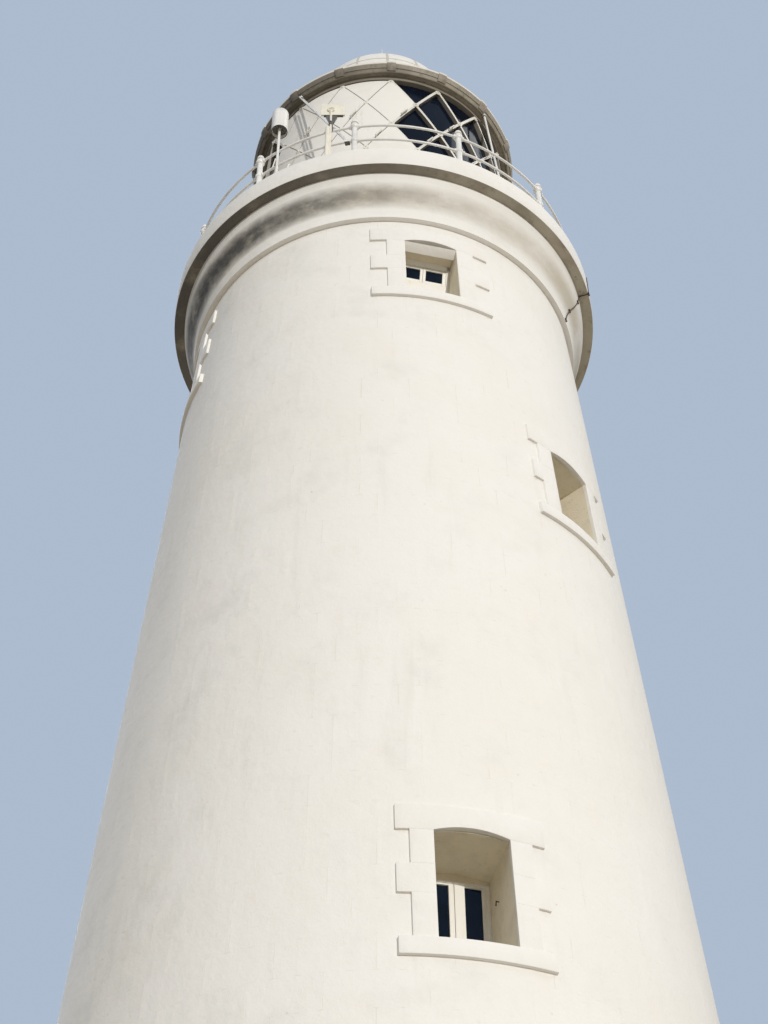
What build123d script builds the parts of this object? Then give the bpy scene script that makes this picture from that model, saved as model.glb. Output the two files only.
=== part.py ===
from build123d import *
import math
import os

# A stone lighthouse tower, in millimetres.
# It stands on z = 0 with its axis on Z. The doorway faces -Y, and azimuths turn from there to +X.

# Clearance between curved faces that seat on each other
fit = 0.3

# Shaft
base_radius = 4160.0
batter = 0.0566
shaft_top = 22600.0
well_radius = 2050.0
segment_count = 8
plinth_projection = 290.0
plinth_height = 950.0
plinth_weathering = 60.0

# Stair windows, one to a storey
first_sill = 3420.0
window_pitch = 3380.0
stair_azimuths = [270.0, 180.0, 0.0, 180.0, 36.0]
sill_above_joint = 760.0

# Service room under the gallery
service_floor_level = 19900.0
service_sill = 20830.0
service_azimuths = [0.0, 90.0, 180.0, 270.0]
service_room_radius = 2150.0
service_floor_thickness = 180.0

# Window openings and their frames
window_width = 760.0
window_height = 1230.0
window_arch_rise = 60.0
window_recess = 800.0
sloped_head_recess = 330.0
sloped_frame_angle = 18.0
frame_depth = 70.0
frame_stile = 50.0
frame_centre_stile = 133.0
frame_bottom_rail = 85.0
frame_head = 60.0
glass_thickness = 6.0

# Raised stones round the openings
long_half_width = 745.0
short_half_width = 610.0
service_long_half_width = 860.0
service_short_half_width = 635.0
quoin_heights = [490.0, 335.0]
lintel_height = 300.0
sill_height = 190.0
stone_projection = 32.0
sill_projection = 48.0
stone_bed = 45.0

# Doorway
door_width = 950.0
threshold_level = 150.0
door_springing = 2250.0
door_arch_rise = 75.0
door_recess = 600.0
door_thickness = 60.0
door_frame_width = 90.0
door_frame_depth = 120.0

# Cornice under the gallery
neck_projection = 80.0
neck_height = 50.0
cove_projection = 215.0
cove_top = 23430.0
cornice_ledge_radius = 1950.0

# Gallery
fascia_projection = 165.0
deck_level = 23750.0
kerb_level = 23855.0
kerb_width = 330.0

# Railing
rail_inset = 230.0
post_count = 12
first_post_azimuth = 8.7
post_diameter = 100.0
post_top = 25050.0
post_foot_diameter = 150.0
post_foot_height = 25.0
post_cap_diameter = 130.0
socket_diameter = 66.0
socket_length = 130.0
rail_diameter = 42.0
top_rail_level = 24870.0
lower_rail_level = 24470.0

# Low wall under the lantern, and its door on the far side
murette_outer_radius = 2200.0
murette_thickness = 250.0
murette_top = 25120.0
gallery_door_width = 650.0
gallery_door_thickness = 50.0
gallery_door_azimuth = 180.0

# Lantern glazing
glazing_inset = 65.0
glazing_bottom = 25170.0
glazing_bar_width = 46.0
glazing_bar_depth = 70.0
lattice_divisions = 16
lattice_rows = 4
lattice_row_height = 700.0
lattice_azimuth = -9.4
lantern_panels = 8
pane_thickness = 10.0
pane_edge_gap = 3.0
blank_from_azimuth = -73.0
blank_to_azimuth = -5.0
lantern_head_projection = 15.0
lantern_head_height = 100.0
lantern_ring_depth = 130.0

# Gutter and roof
gutter_seat_inset = 120.0
gutter_projection = 95.0
gutter_rise = 100.0
gutter_lip = 70.0
gutter_thickness = 25.0
gutter_bead = 22.0
gutter_ridge_at = 0.41
gutter_ridge_width = 22.0
gutter_ridge_height = 9.0
gutter_strap_width = 150.0
gutter_strap_thickness = 16.0
roof_foot_projection = 15.0
dome_radius = 1440.0
dome_springing = 29810.0
roof_thickness = 20.0
vent_neck_radius = 160.0
vent_neck_height = 220.0
vent_ball_radius = 290.0
lightning_rod_diameter = 36.0
lightning_rod_tip = 32980.0

# Fittings on the gallery
drum_azimuth = -44.4
drum_diameter = 260.0
drum_bottom = 25376.0
drum_height = 540.0
drum_wall = 12.0
drum_skirt = 90.0
drum_round = 30.0
fitting_pole_diameter = 42.0
sensor_azimuth = -28.1
sensor_level = 25465.0
sensor_width = 460.0
sensor_depth = 200.0
sensor_height = 330.0
sensor_ring_radius = 55.0
sensor_ring_section = 14.0
hook_pin_diameter = 26.0
hook_ball_diameter = 70.0
hook_drop = 60.0
hanging_bar_top_azimuth = -51.5
hanging_bar_low_azimuth = -23.3
hanging_bar_diameter = 28.0
hanging_bar_spacing = 75.0
rung_diameter = 22.0
rung_count = 4
clamp_size = 74.0
clamp_length = 80.0
hook_rod_azimuth = 38.2
hook_rod_foot_radius = 2620.0
hook_rod_diameter = 38.0
conductor_azimuth = 60.0
conductor_width = 45.0
conductor_thickness = 12.0

# Worked out from the sizes above
stair_halves = (long_half_width, short_half_width)
service_halves = (service_long_half_width, service_short_half_width)
entrance_wall_top = first_sill - sill_above_joint
segment_angle = 360.0 / segment_count
arc_start_for_front = -90.0
plinth_radius = base_radius + plinth_projection
neck_radius = base_radius - batter * shaft_top + neck_projection
cove_lip_radius = neck_radius + cove_projection
gallery_radius = cove_lip_radius + fascia_projection
kerb_inner_radius = gallery_radius - kerb_width
rail_radius = gallery_radius - rail_inset
murette_inner_radius = murette_outer_radius - murette_thickness
glazing_radius = murette_outer_radius - glazing_inset
half_step = 180.0 / lattice_divisions
gutter_side_angle = 2 * half_step
gutter_seat_radius = murette_outer_radius - gutter_seat_inset
gutter_bead_radius = murette_outer_radius
gutter_outer_radius = murette_outer_radius + gutter_projection
roof_foot_radius = murette_outer_radius + roof_foot_projection
glazing_top = glazing_bottom + lattice_rows * lattice_row_height
gutter_level = glazing_top + lantern_head_height
eaves_level = gutter_level + gutter_rise
cutter_reach = 2.0 * plinth_radius
fitting_radius = rail_radius + (rail_diameter + fitting_pole_diameter) / 2 + fit
stone_band_angle = 60.0


# Shared shapes

def wall_radius(z):
    """Outer radius of the battered shaft at a height."""
    return base_radius - batter * z


def turned(shape, azimuth):
    """A shape modelled at the front, carried round the axis."""
    return Rot(0, 0, azimuth) * shape


def ring_sector(corners, azimuth, sweep):
    """Revolves an outline of (radius, height) corners, centred on an azimuth."""
    outline = make_face(Polyline(*[(r, 0, z) for r, z in corners], close=True))
    return sector_of(outline, azimuth, sweep)


def sector_of(outline, azimuth, sweep):
    solid = revolve(outline, axis=Axis.Z, revolution_arc=sweep)
    return Rot(0, 0, azimuth + arc_start_for_front - sweep / 2) * solid


def full_ring(corners):
    outline = make_face(Polyline(*[(r, 0, z) for r, z in corners], close=True))
    return revolve(outline, axis=Axis.Z)


def wall_corners(low, high, inner_radius):
    return [(inner_radius, low), (wall_radius(low), low), (wall_radius(high), high), (inner_radius, high)]


def front_prism(outline):
    """Carries an outline in the XZ plane outward through the front of the wall."""
    return extrude(outline, amount=cutter_reach, dir=(0, -1, 0))


def arched_outline(width, bottom, springing, rise):
    half = width / 2
    sides = Polyline((half, 0, springing), (half, 0, bottom), (-half, 0, bottom), (-half, 0, springing))
    head = ThreePointArc((-half, 0, springing), (0, 0, springing + rise), (half, 0, springing))
    return make_face(sides + head)


def front_box(width, low, high):
    """A square-cornered cutter from the axis out through the front."""
    box = Box(width, cutter_reach, high - low, align=(Align.CENTER, Align.MAX, Align.MIN))
    return box.moved(Location((0, 0, low)))


def standing(diameter, height):
    """An upright cylinder that stands on z = 0."""
    return Cylinder(diameter / 2, height, align=(Align.CENTER, Align.CENTER, Align.MIN))


def solids_of(shape):
    return list(shape.solids())


# Raised stones that follow the cone

def stone_band(low, high, bed, projection):
    corners = [
        (wall_radius(low) - bed, low),
        (wall_radius(low) + projection, low),
        (wall_radius(high) + projection, high),
        (wall_radius(high) - bed, high),
    ]
    return ring_sector(corners, 0, stone_band_angle)


def quoin_outline(width, low, springing, halves):
    """Long and short work on the right side of an opening, whose half widths are (long, short)."""
    half = width / 2
    long_half, short_half = halves
    first = low + quoin_heights[0]
    second = first + quoin_heights[1]
    return [
        (half, low),
        (short_half, low),
        (short_half, first),
        (long_half, first),
        (long_half, second),
        (short_half, second),
        (short_half, springing),
        (half, springing),
    ]


def outline_face(corners):
    return make_face(Polyline(*[(x, 0, z) for x, z in corners], close=True))


def quoin_pair(width, low, springing, halves):
    band = stone_band(low, springing, stone_bed, stone_projection)
    right = band & front_prism(outline_face(quoin_outline(width, low, springing, halves)))
    return [right, mirror(right, about=Plane.YZ)]


def lintel_stone(width, springing, rise, half):
    high = springing + lintel_height
    band = stone_band(springing, high, stone_bed, stone_projection)
    outline = outline_face([(half, springing), (half, high), (-half, high), (-half, springing)])
    opening = arched_outline(width, springing - lintel_height, springing, rise)
    return band & (front_prism(outline) - front_prism(opening))


def sill_stone(sill, half):
    low = sill - sill_height
    band = stone_band(low, sill, stone_bed, sill_projection)
    return band & front_prism(outline_face([(half, low), (half, sill), (-half, sill), (-half, low)]))


def stone_pocket(width, low, springing, halves, has_sill):
    """The bed that the raised stones take out of the wall."""
    half = halves[0]
    right = quoin_outline(width, low, springing, halves)[1:-1]
    left = [(-x, z) for x, z in reversed(right)]
    bottom = low - sill_height if has_sill else low
    high = springing + lintel_height
    middle = outline_face(right + left)
    head = outline_face([(half, springing), (half, high), (-half, high), (-half, springing)])
    cutter = front_prism(middle) + front_prism(head)
    if has_sill:
        foot = outline_face([(half, bottom), (half, low), (-half, low), (-half, bottom)])
        cutter = cutter + front_prism(foot)
    return stone_band(bottom, high, stone_bed + fit, 3 * sill_projection) & cutter


# Wall storeys

class Storey:
    """The solids of one storey: two sets of pieces that never touch within a set, and the jambs."""

    def __init__(self, even, odd, jambs):
        self.even = even
        self.odd = odd
        self.jambs = jambs


def window_bay(low, high, inner_radius, sill, halves):
    springing = sill + window_height
    pocket = stone_pocket(window_width, sill, springing, halves, True)
    passage = front_prism(arched_outline(window_width, sill, springing, window_arch_rise))
    below = ring_sector(wall_corners(low, sill, inner_radius), 0, segment_angle) - pocket
    above = ring_sector(wall_corners(springing, high, inner_radius), 0, segment_angle) - passage - pocket
    sides = ring_sector(wall_corners(sill, springing, inner_radius), 0, segment_angle) - passage - pocket
    return [below, above], solids_of(sides)


def window_storey(low, high, inner_radius, sill, azimuths, halves):
    blocks, jambs = window_bay(low, high, inner_radius, sill, halves)
    even = []
    odd = []
    jamb_solids = []
    start = azimuths[0]
    window_bays = [round((a - start) / segment_angle) % segment_count for a in azimuths]
    for bay in range(segment_count):
        azimuth = start + bay * segment_angle
        if bay in window_bays:
            even += [turned(block, azimuth) for block in blocks]
            jamb_solids += [turned(jamb, azimuth) for jamb in jambs]
            continue
        plain = ring_sector(wall_corners(low, high, inner_radius), azimuth, segment_angle)
        (odd if bay % 2 else even).append(plain)
    return Storey(even, odd, jamb_solids)


def plinth_storey():
    top_radius = wall_radius(plinth_height)
    corners = [
        (well_radius, 0),
        (plinth_radius, 0),
        (plinth_radius, plinth_height - plinth_weathering),
        (top_radius, plinth_height),
        (well_radius, plinth_height),
    ]
    doorway = front_box(door_width, -plinth_height, 2 * plinth_height)
    even = solids_of(ring_sector(corners, 0, segment_angle) - doorway)
    odd = []
    for bay in range(1, segment_count):
        (odd if bay % 2 else even).append(ring_sector(corners, bay * segment_angle, segment_angle))
    return Storey(even, odd, [])


def entrance_storey():
    passage = front_prism(arched_outline(door_width, 0, door_springing, door_arch_rise))
    pocket = stone_pocket(door_width, plinth_height, door_springing, stair_halves, False)
    head = ring_sector(wall_corners(door_springing, entrance_wall_top, well_radius), 0, segment_angle)
    sides = ring_sector(wall_corners(plinth_height, door_springing, well_radius), 0, segment_angle)
    even = [head - passage - pocket]
    odd = []
    for bay in range(1, segment_count):
        plain = ring_sector(
            wall_corners(plinth_height, entrance_wall_top, well_radius), bay * segment_angle, segment_angle
        )
        (odd if bay % 2 else even).append(plain)
    return Storey(even, odd, solids_of(sides - passage - pocket))


# Floors

def ground_floor():
    disc = standing(2 * (well_radius - fit), threshold_level)
    step = front_box(door_width - 2 * fit, 0, threshold_level)
    return disc + (step & standing(2 * plinth_radius, threshold_level))


def floor_disc(radius, low, thickness):
    return standing(2 * (radius - fit), thickness).moved(Location((0, 0, low)))


# Window frames and glass, modelled at the front with the sill at z = 0

def light_boxes(height, depth, gap):
    """The two lights of a frame, or the panes that fill them when a gap is given."""
    light_width = (window_width - 2 * frame_stile - frame_centre_stile) / 2
    centre = (light_width + frame_centre_stile) / 2
    light_height = height - frame_bottom_rail - frame_head
    boxes = []
    for side in (-1, 1):
        box = Box(light_width - 2 * gap, depth, light_height - 2 * gap,
                  align=(Align.CENTER, Align.CENTER, Align.MIN))
        boxes.append(box.moved(Location((side * centre, 0, frame_bottom_rail + gap))))
    return boxes


def upright_frame():
    outline = arched_outline(window_width - 2 * fit, fit, window_height, window_arch_rise - fit)
    slab = extrude(outline, amount=frame_depth / 2, dir=(0, 1, 0), both=True)
    for light in light_boxes(window_height, 2 * frame_depth, 0):
        slab = slab - light
    return slab


def sloped_frame():
    tilt = Rot(sloped_frame_angle, 0, 0)
    height = window_height / math.cos(math.radians(sloped_frame_angle))
    slab = Box(window_width, frame_depth, 2 * height)
    for light in light_boxes(height, 2 * frame_depth, 0):
        slab = slab - light
    outline = arched_outline(window_width - 2 * fit, fit, window_height, window_arch_rise - fit)
    limit = extrude(outline, amount=window_height, dir=(0, 1, 0), both=True)
    return (tilt * slab) & limit


def panes(sloped):
    if not sloped:
        return light_boxes(window_height, glass_thickness, fit)
    height = window_height / math.cos(math.radians(sloped_frame_angle))
    return [Rot(sloped_frame_angle, 0, 0) * pane for pane in light_boxes(height, glass_thickness, fit)]


def window_place(sill, azimuth, sloped):
    """Where a window's frame stands in the wall."""
    if sloped:
        slope = window_height * math.tan(math.radians(sloped_frame_angle))
        face = sloped_head_recess + slope - wall_radius(sill + window_height)
    else:
        face = window_recess - wall_radius(sill + window_height / 2)
    return Location((0, 0, 0), (0, 0, azimuth)) * Location((0, face, sill))


# Doorway

def door_frame_and_leaf():
    face = door_recess - wall_radius(door_springing)
    foot = threshold_level + fit
    rise = door_arch_rise - fit
    outer = arched_outline(door_width - 2 * fit, foot, door_springing, rise)
    inner_width = door_width - 2 * door_frame_width
    inner_top = door_springing - door_frame_width
    inner = arched_outline(inner_width, 0, inner_top, door_arch_rise)
    frame = extrude(outer, amount=door_frame_depth, dir=(0, 1, 0))
    frame = frame - extrude(inner, amount=3 * door_frame_depth, dir=(0, 1, 0), both=True)
    leaf_outline = arched_outline(inner_width - 2 * fit, foot, inner_top, rise)
    leaf = extrude(leaf_outline, amount=door_thickness, dir=(0, 1, 0))
    leaf_set_back = (door_frame_depth - door_thickness) / 2
    return (
        frame.moved(Location((0, face, 0))),
        leaf.moved(Location((0, face + leaf_set_back, 0))),
    )


# Cornice and gallery

def flare(start, end):
    """An arc that leaves its start upright and curves away to its end, both given as (radius, height)."""
    run = end[0] - start[0]
    rise = end[1] - start[1]
    arc_radius = (run ** 2 + rise ** 2) / (2 * run)
    half_turn = math.asin(abs(rise) / arc_radius) / 2
    middle_radius = start[0] + arc_radius * (1 - math.cos(half_turn))
    middle_height = start[1] + math.copysign(arc_radius * math.sin(half_turn), rise)
    return ThreePointArc((start[0], 0, start[1]), (middle_radius, 0, middle_height), (end[0], 0, end[1]))


def cornice_outline():
    """The necking and the cove, which turns upright again under the soffit."""
    cove_foot = shaft_top + neck_height
    middle = ((neck_radius + cove_lip_radius) / 2, (cove_foot + cove_top) / 2)
    cove = flare((neck_radius, cove_foot), middle)
    lip = flare((cove_lip_radius, cove_top), middle)
    back = Polyline(
        (cove_lip_radius, 0, cove_top),
        (cornice_ledge_radius, 0, cove_top),
        (cornice_ledge_radius, 0, shaft_top),
        (neck_radius, 0, shaft_top),
        (neck_radius, 0, cove_foot),
    )
    return make_face(cove + lip + back)


def gallery_corners():
    return [
        (well_radius, cove_top),
        (gallery_radius, cove_top),
        (gallery_radius, kerb_level),
        (kerb_inner_radius, kerb_level),
        (kerb_inner_radius, deck_level),
        (well_radius, deck_level),
    ]


def alternate_sectors(outline):
    """Ring segments in two sets, so that the pieces of one set don't touch."""
    sets = ([], [])
    for bay in range(segment_count):
        sets[bay % 2].append(sector_of(outline, bay * segment_angle, segment_angle))
    return sets


def post_outline():
    foot = post_foot_diameter / 2
    shaft = post_diameter / 2
    cap = post_cap_diameter / 2
    foot_top = kerb_level + post_foot_height
    cap_centre = post_top - cap
    cap_foot = cap_centre - cap / 2
    diagonal = cap * math.sqrt(0.5)
    side = Polyline(
        (0, 0, cap_centre), (0, 0, kerb_level), (foot, 0, kerb_level), (foot, 0, foot_top),
        (shaft, 0, foot_top), (shaft, 0, cap_foot), (cap, 0, cap_foot), (cap, 0, cap_centre),
    )
    dome = ThreePointArc((cap, 0, cap_centre), (diagonal, 0, cap_centre + diagonal), (0, 0, post_top))
    axis = Line((0, 0, post_top), (0, 0, cap_centre))
    return make_face(side + dome + axis)


def rail_post():
    post = revolve(post_outline(), axis=Axis.Z)
    for level in (lower_rail_level, top_rail_level):
        socket = Cylinder(socket_diameter / 2, socket_length, rotation=(0, 90, 0))
        post = post + socket.moved(Location((0, 0, level)))
    return post.moved(Location((0, -rail_radius, 0)))


def rail_section(level, clearance):
    return Plane.XZ * Pos(rail_radius, level) * RegularPolygon(rail_diameter / 2 + clearance, 8)


def rail_length(level):
    """One bay of rail, from socket to socket."""
    bay_angle = 360.0 / post_count
    socket_angle = math.degrees(math.asin((socket_length / 2 + 3 * fit) / rail_radius))
    return sector_of(rail_section(level, 0), bay_angle / 2, bay_angle - 2 * socket_angle)


# Lantern

def murette():
    corners = [
        (murette_inner_radius, deck_level), (murette_outer_radius, deck_level),
        (murette_outer_radius, murette_top), (murette_inner_radius, murette_top),
    ]
    door_gap = front_box(gallery_door_width, deck_level, murette_top)
    sets = ([], [])
    for bay in range(segment_count):
        azimuth = gallery_door_azimuth + bay * segment_angle
        if bay == 0:
            sides = ring_sector(corners, 0, segment_angle) - door_gap
            sets[0].extend(turned(side, azimuth) for side in solids_of(sides))
        else:
            sets[bay % 2].append(ring_sector(corners, azimuth, segment_angle))
    return sets


def gallery_door():
    outer = murette_outer_radius
    corners = [
        (outer - gallery_door_thickness, deck_level + fit), (outer, deck_level + fit),
        (outer, murette_top - fit), (outer - gallery_door_thickness, murette_top - fit),
    ]
    leaf = ring_sector(corners, 0, segment_angle) & front_box(
        gallery_door_width - 2 * fit, deck_level, murette_top
    )
    return turned(leaf, gallery_door_azimuth)


def lantern_ring(outer, low, high):
    inner = glazing_radius - lantern_ring_depth
    return full_ring([(inner, low), (outer, low), (outer, high), (inner, high)])


def lattice_point(step, row):
    angle = math.radians(step * half_step)
    radius = glazing_radius - glazing_bar_depth / 2
    level = glazing_bottom + row * lattice_row_height
    return Vector(radius * math.sin(angle), -radius * math.cos(angle), level)


def lattice_bar(start, end):
    """One straight length of bar between two crossings, a little long at both ends."""
    middle = (start + end) * 0.5
    outward = Vector(middle.X, middle.Y, 0)
    place = Plane(origin=middle, x_dir=end - start, z_dir=outward)
    length = (end - start).length + 2 * glazing_bar_width
    return place * Box(length, glazing_bar_width, 2 * glazing_bar_depth)


def lattice_panel():
    """Diagonal bars of one panel, fused where they cross and trimmed to the curve of the lantern."""
    panel_steps = 2 * lattice_divisions // lantern_panels
    bars = []
    for row in range(lattice_rows):
        for step in range(panel_steps + 1):
            if (row + step) % 2:
                continue
            for turn in (-1, 1):
                if 0 <= step + turn <= panel_steps:
                    bars.append(lattice_bar(lattice_point(step, row), lattice_point(step + turn, row + 1)))
    sweep = 360.0 / lantern_panels
    inner = glazing_radius - glazing_bar_depth
    trim = ring_sector(
        [(inner, glazing_bottom), (glazing_radius, glazing_bottom),
         (glazing_radius, glazing_top), (inner, glazing_top)],
        sweep / 2, sweep,
    )
    return (bars[0] + bars[1:]) & trim


def lantern_panel_sets():
    panel = lattice_panel()
    sets = ([], [])
    for index in range(lantern_panels):
        azimuth = lattice_azimuth + index * 360.0 / lantern_panels
        sets[index % 2].append(turned(panel, azimuth))
    return sets


def pane_shell():
    outer = glazing_radius - glazing_bar_depth - fit
    inner = outer - pane_thickness
    return ring_sector(
        [(inner, glazing_bottom + fit), (outer, glazing_bottom + fit),
         (outer, glazing_top - fit), (inner, glazing_top - fit)],
        0, 4 * half_step,
    )


def pane_at(row):
    """The pane centred on a crossing row: a diamond, or half of one at the top or bottom."""
    half_width = (glazing_radius - glazing_bar_depth) * math.sin(math.radians(half_step))
    middle = glazing_bottom + row * lattice_row_height
    corners = [
        (half_width, middle), (0, middle + lattice_row_height),
        (-half_width, middle), (0, middle - lattice_row_height),
    ]
    outline = offset(outline_face(corners), amount=-pane_edge_gap)
    return pane_shell() & front_prism(outline)


def lantern_panes():
    clear = []
    blank = []
    for row in range(lattice_rows + 1):
        pane = pane_at(row)
        for division in range(lattice_divisions):
            step = 2 * division + (row + 1) % 2
            azimuth = (lattice_azimuth + step * half_step + 180.0) % 360.0 - 180.0
            is_blank = blank_from_azimuth < azimuth < blank_to_azimuth
            (blank if is_blank else clear).append(turned(pane, azimuth))
    return clear, blank


# Gutter and roof

def gutter_profile():
    """The moulding as (distance, height): seat, bead, ridged soffit, rim and channel."""
    rim = eaves_level + gutter_lip
    skin = gutter_thickness
    bead = gutter_bead
    diagonal = bead * math.sqrt(0.5)
    soffit_start = gutter_bead_radius + bead
    soffit_run = gutter_outer_radius - soffit_start
    ridge = soffit_start + gutter_ridge_at * soffit_run
    ridge_level = gutter_level + gutter_ridge_at * gutter_rise
    ridge_end = gutter_ridge_at + gutter_ridge_width / gutter_rise
    return [
        (gutter_seat_radius, gutter_level),
        (gutter_bead_radius - bead, gutter_level),
        (gutter_bead_radius - diagonal, gutter_level - diagonal),
        (gutter_bead_radius, gutter_level - bead),
        (gutter_bead_radius + diagonal, gutter_level - diagonal),
        (soffit_start, gutter_level),
        (ridge, ridge_level),
        (ridge + gutter_ridge_height, ridge_level - gutter_ridge_height / 2),
        (soffit_start + ridge_end * soffit_run, gutter_level + ridge_end * gutter_rise),
        (gutter_outer_radius, eaves_level),
        (gutter_outer_radius, rim),
        (gutter_outer_radius - skin, rim),
        (gutter_outer_radius - skin, eaves_level + skin),
        (roof_foot_radius + skin, eaves_level),
        (gutter_seat_radius, eaves_level),
    ]


def strap_profile():
    """The cover strap over a gutter joint, from the bead out and up to the rim."""
    strap = gutter_strap_thickness
    soffit_start = gutter_bead_radius + gutter_bead
    run = gutter_outer_radius - soffit_start
    slope = math.hypot(run, gutter_rise)
    out = strap * gutter_rise / slope
    down = strap * run / slope
    rim = eaves_level + gutter_lip
    return [
        (soffit_start, gutter_level),
        (soffit_start + out, gutter_level - down),
        (gutter_outer_radius + strap, eaves_level - down + gutter_rise * (strap - out) / run),
        (gutter_outer_radius + strap, rim),
        (gutter_outer_radius, rim),
        (gutter_outer_radius, eaves_level),
    ]


def straight_run(profile, start_angle, end_angle):
    """A moulding along the front side of the gutter, cut square to the axis at two angles."""
    outline = make_face(Polyline(*[(0, -distance, z) for distance, z in profile], close=True))
    run = extrude(outline, amount=gutter_outer_radius / 2, dir=(1, 0, 0), both=True)
    inner = gutter_seat_radius / 2
    outer = 2 * gutter_outer_radius
    low = glazing_top
    high = eaves_level + 2 * gutter_lip
    wedge = ring_sector(
        [(inner, low), (outer, low), (outer, high), (inner, high)],
        (start_angle + end_angle) / 2, end_angle - start_angle,
    )
    return run & wedge


def gutter_length():
    return straight_run(gutter_profile(), -half_step, half_step)


def gutter_strap():
    """One strap, bent round the corner between two lengths, modelled with the corner at the front."""
    strap_angle = math.degrees(gutter_strap_width / 2 / gutter_outer_radius)
    halves = []
    for start, end, side in (
        (half_step - strap_angle, half_step, -half_step),
        (-half_step, -half_step + strap_angle, half_step),
    ):
        half = straight_run(strap_profile(), start, end) - straight_run(gutter_profile(), start, end)
        halves.append(turned(half, side))
    return halves[0] + halves[1]


def gutter_pieces():
    sets = ([], [])
    straps = []
    for index in range(lattice_divisions):
        corner = lattice_azimuth + index * gutter_side_angle
        sets[index % 2].append(turned(gutter_length(), corner + half_step))
        straps.append(turned(gutter_strap(), corner))
    return sets, straps


def roof_line(inset):
    """The ogee line of the roof, from the eaves up to the hole for the ventilator's neck."""
    radius = dome_radius - inset
    hole = vent_neck_radius + fit
    half_way = math.asin(hole / radius) / 2 + math.pi / 4
    hole_level = dome_springing + math.sqrt(radius ** 2 - hole ** 2)
    dome = ThreePointArc(
        (radius, 0, dome_springing),
        (radius * math.sin(half_way), 0, dome_springing + radius * math.cos(half_way)),
        (hole, 0, hole_level),
    )
    return flare((radius, dome_springing), (roof_foot_radius - inset, eaves_level)) + dome


def roof_dome():
    outer = roof_line(0)
    inner = roof_line(roof_thickness)
    hole = Line(outer.vertices().sort_by(Axis.Z)[-1], inner.vertices().sort_by(Axis.Z)[-1])
    foot = Line((roof_foot_radius, 0, eaves_level), (roof_foot_radius - roof_thickness, 0, eaves_level))
    return revolve(make_face(outer + hole + inner + foot), axis=Axis.Z)


def roof_vent():
    """A turned neck and ball through the crown, with the lightning rod on top."""
    crown = dome_springing + dome_radius
    neck_foot = crown - 3 * roof_thickness
    ball_centre = crown + vent_neck_height + vent_ball_radius * math.sqrt(0.5)
    neck = standing(2 * vent_neck_radius, ball_centre - neck_foot)
    ball = Sphere(vent_ball_radius).moved(Location((0, 0, ball_centre)))
    rod = standing(lightning_rod_diameter, lightning_rod_tip - ball_centre)
    return neck.moved(Location((0, 0, neck_foot))) + ball + rod.moved(Location((0, 0, ball_centre)))


# Fittings

def upright_at(azimuth, radius, low, high, diameter):
    return turned(standing(diameter, high - low).moved(Location((0, -radius, low))), azimuth)


def signal_drum():
    """A closed drum with a hollow skirt, on a pole that stands on the kerb."""
    drum = standing(drum_diameter, drum_height)
    drum = fillet(drum.edges().sort_by(Axis.Z)[-1], drum_round)
    skirt = standing(drum_diameter - 2 * drum_wall, drum_skirt)
    drum = (drum - skirt).moved(Location((0, -fitting_radius, drum_bottom)))
    pole = upright_at(0, fitting_radius, kerb_level, drum_bottom + drum_skirt, fitting_pole_diameter)
    return turned(drum + pole, drum_azimuth)


def sensor_box():
    """A box on a short mast, with a ring in front of it."""
    face = fitting_radius - fitting_pole_diameter / 3
    box = Box(sensor_width, sensor_depth, sensor_height, align=(Align.CENTER, Align.MIN, Align.CENTER))
    box = box.moved(Location((0, -face, sensor_level)))
    ring = Torus(sensor_ring_radius, sensor_ring_section / 2, rotation=(90, 0, 0))
    ring = ring.moved(Location((0, -fitting_radius, sensor_level)))
    mast_top = sensor_level - sensor_ring_radius
    mast = upright_at(0, fitting_radius, kerb_level, mast_top, fitting_pole_diameter)
    return turned(box + ring + mast, sensor_azimuth)


def at(azimuth, radius, level):
    angle = math.radians(azimuth)
    return Vector(radius * math.sin(angle), -radius * math.cos(angle), level)


def rod_between(start, end, diameter):
    place = Plane(origin=start, z_dir=end - start)
    return place * standing(diameter, (end - start).length)


def hook_centre(azimuth):
    """Where the ball of a hook hangs, under the soffit of the gutter."""
    radius = (gutter_bead_radius + gutter_bead + gutter_outer_radius) / 2
    return at(azimuth, radius, gutter_level - hook_drop)


def hook(azimuth):
    """A pin from the soffit with a ball at its foot."""
    centre = hook_centre(azimuth)
    side = math.floor((azimuth - lattice_azimuth) / gutter_side_angle)
    side_azimuth = lattice_azimuth + side * gutter_side_angle + half_step
    top = Vector(centre.X, centre.Y, eaves_level)
    pin = rod_between(centre, top, hook_pin_diameter) - turned(gutter_length(), side_azimuth)
    return pin.solids().sort_by(Axis.Z)[0] + Sphere(hook_ball_diameter / 2).moved(Location(centre))


def hanging_bar():
    """Two parallel bars with rungs, from a hook under the gutter down to a clamp on the lower rail."""
    top = hook_centre(hanging_bar_top_azimuth)
    low = at(hanging_bar_low_azimuth, rail_radius, lower_rail_level + clamp_size / 4)
    along = (low - top).normalized()
    sideways = along.cross(Vector(0, 0, 1)).normalized() * (hanging_bar_spacing / 2)
    bars = rod_between(top + sideways, low + sideways, hanging_bar_diameter)
    bars = bars + rod_between(top - sideways, low - sideways, hanging_bar_diameter)
    for rung in range(rung_count):
        point = top + (low - top) * (rung / (rung_count - 1))
        bars = bars + rod_between(point - sideways, point + sideways, rung_diameter)
    half = clamp_size / 2
    clamp = ring_sector(
        [(rail_radius - half, lower_rail_level - half), (rail_radius + half, lower_rail_level - half),
         (rail_radius + half, lower_rail_level + half), (rail_radius - half, lower_rail_level + half)],
        hanging_bar_low_azimuth, math.degrees(clamp_length / rail_radius),
    )
    rail = sector_of(rail_section(lower_rail_level, fit), hanging_bar_low_azimuth, segment_angle)
    return (bars + clamp + hook(hanging_bar_top_azimuth)) - rail


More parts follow.
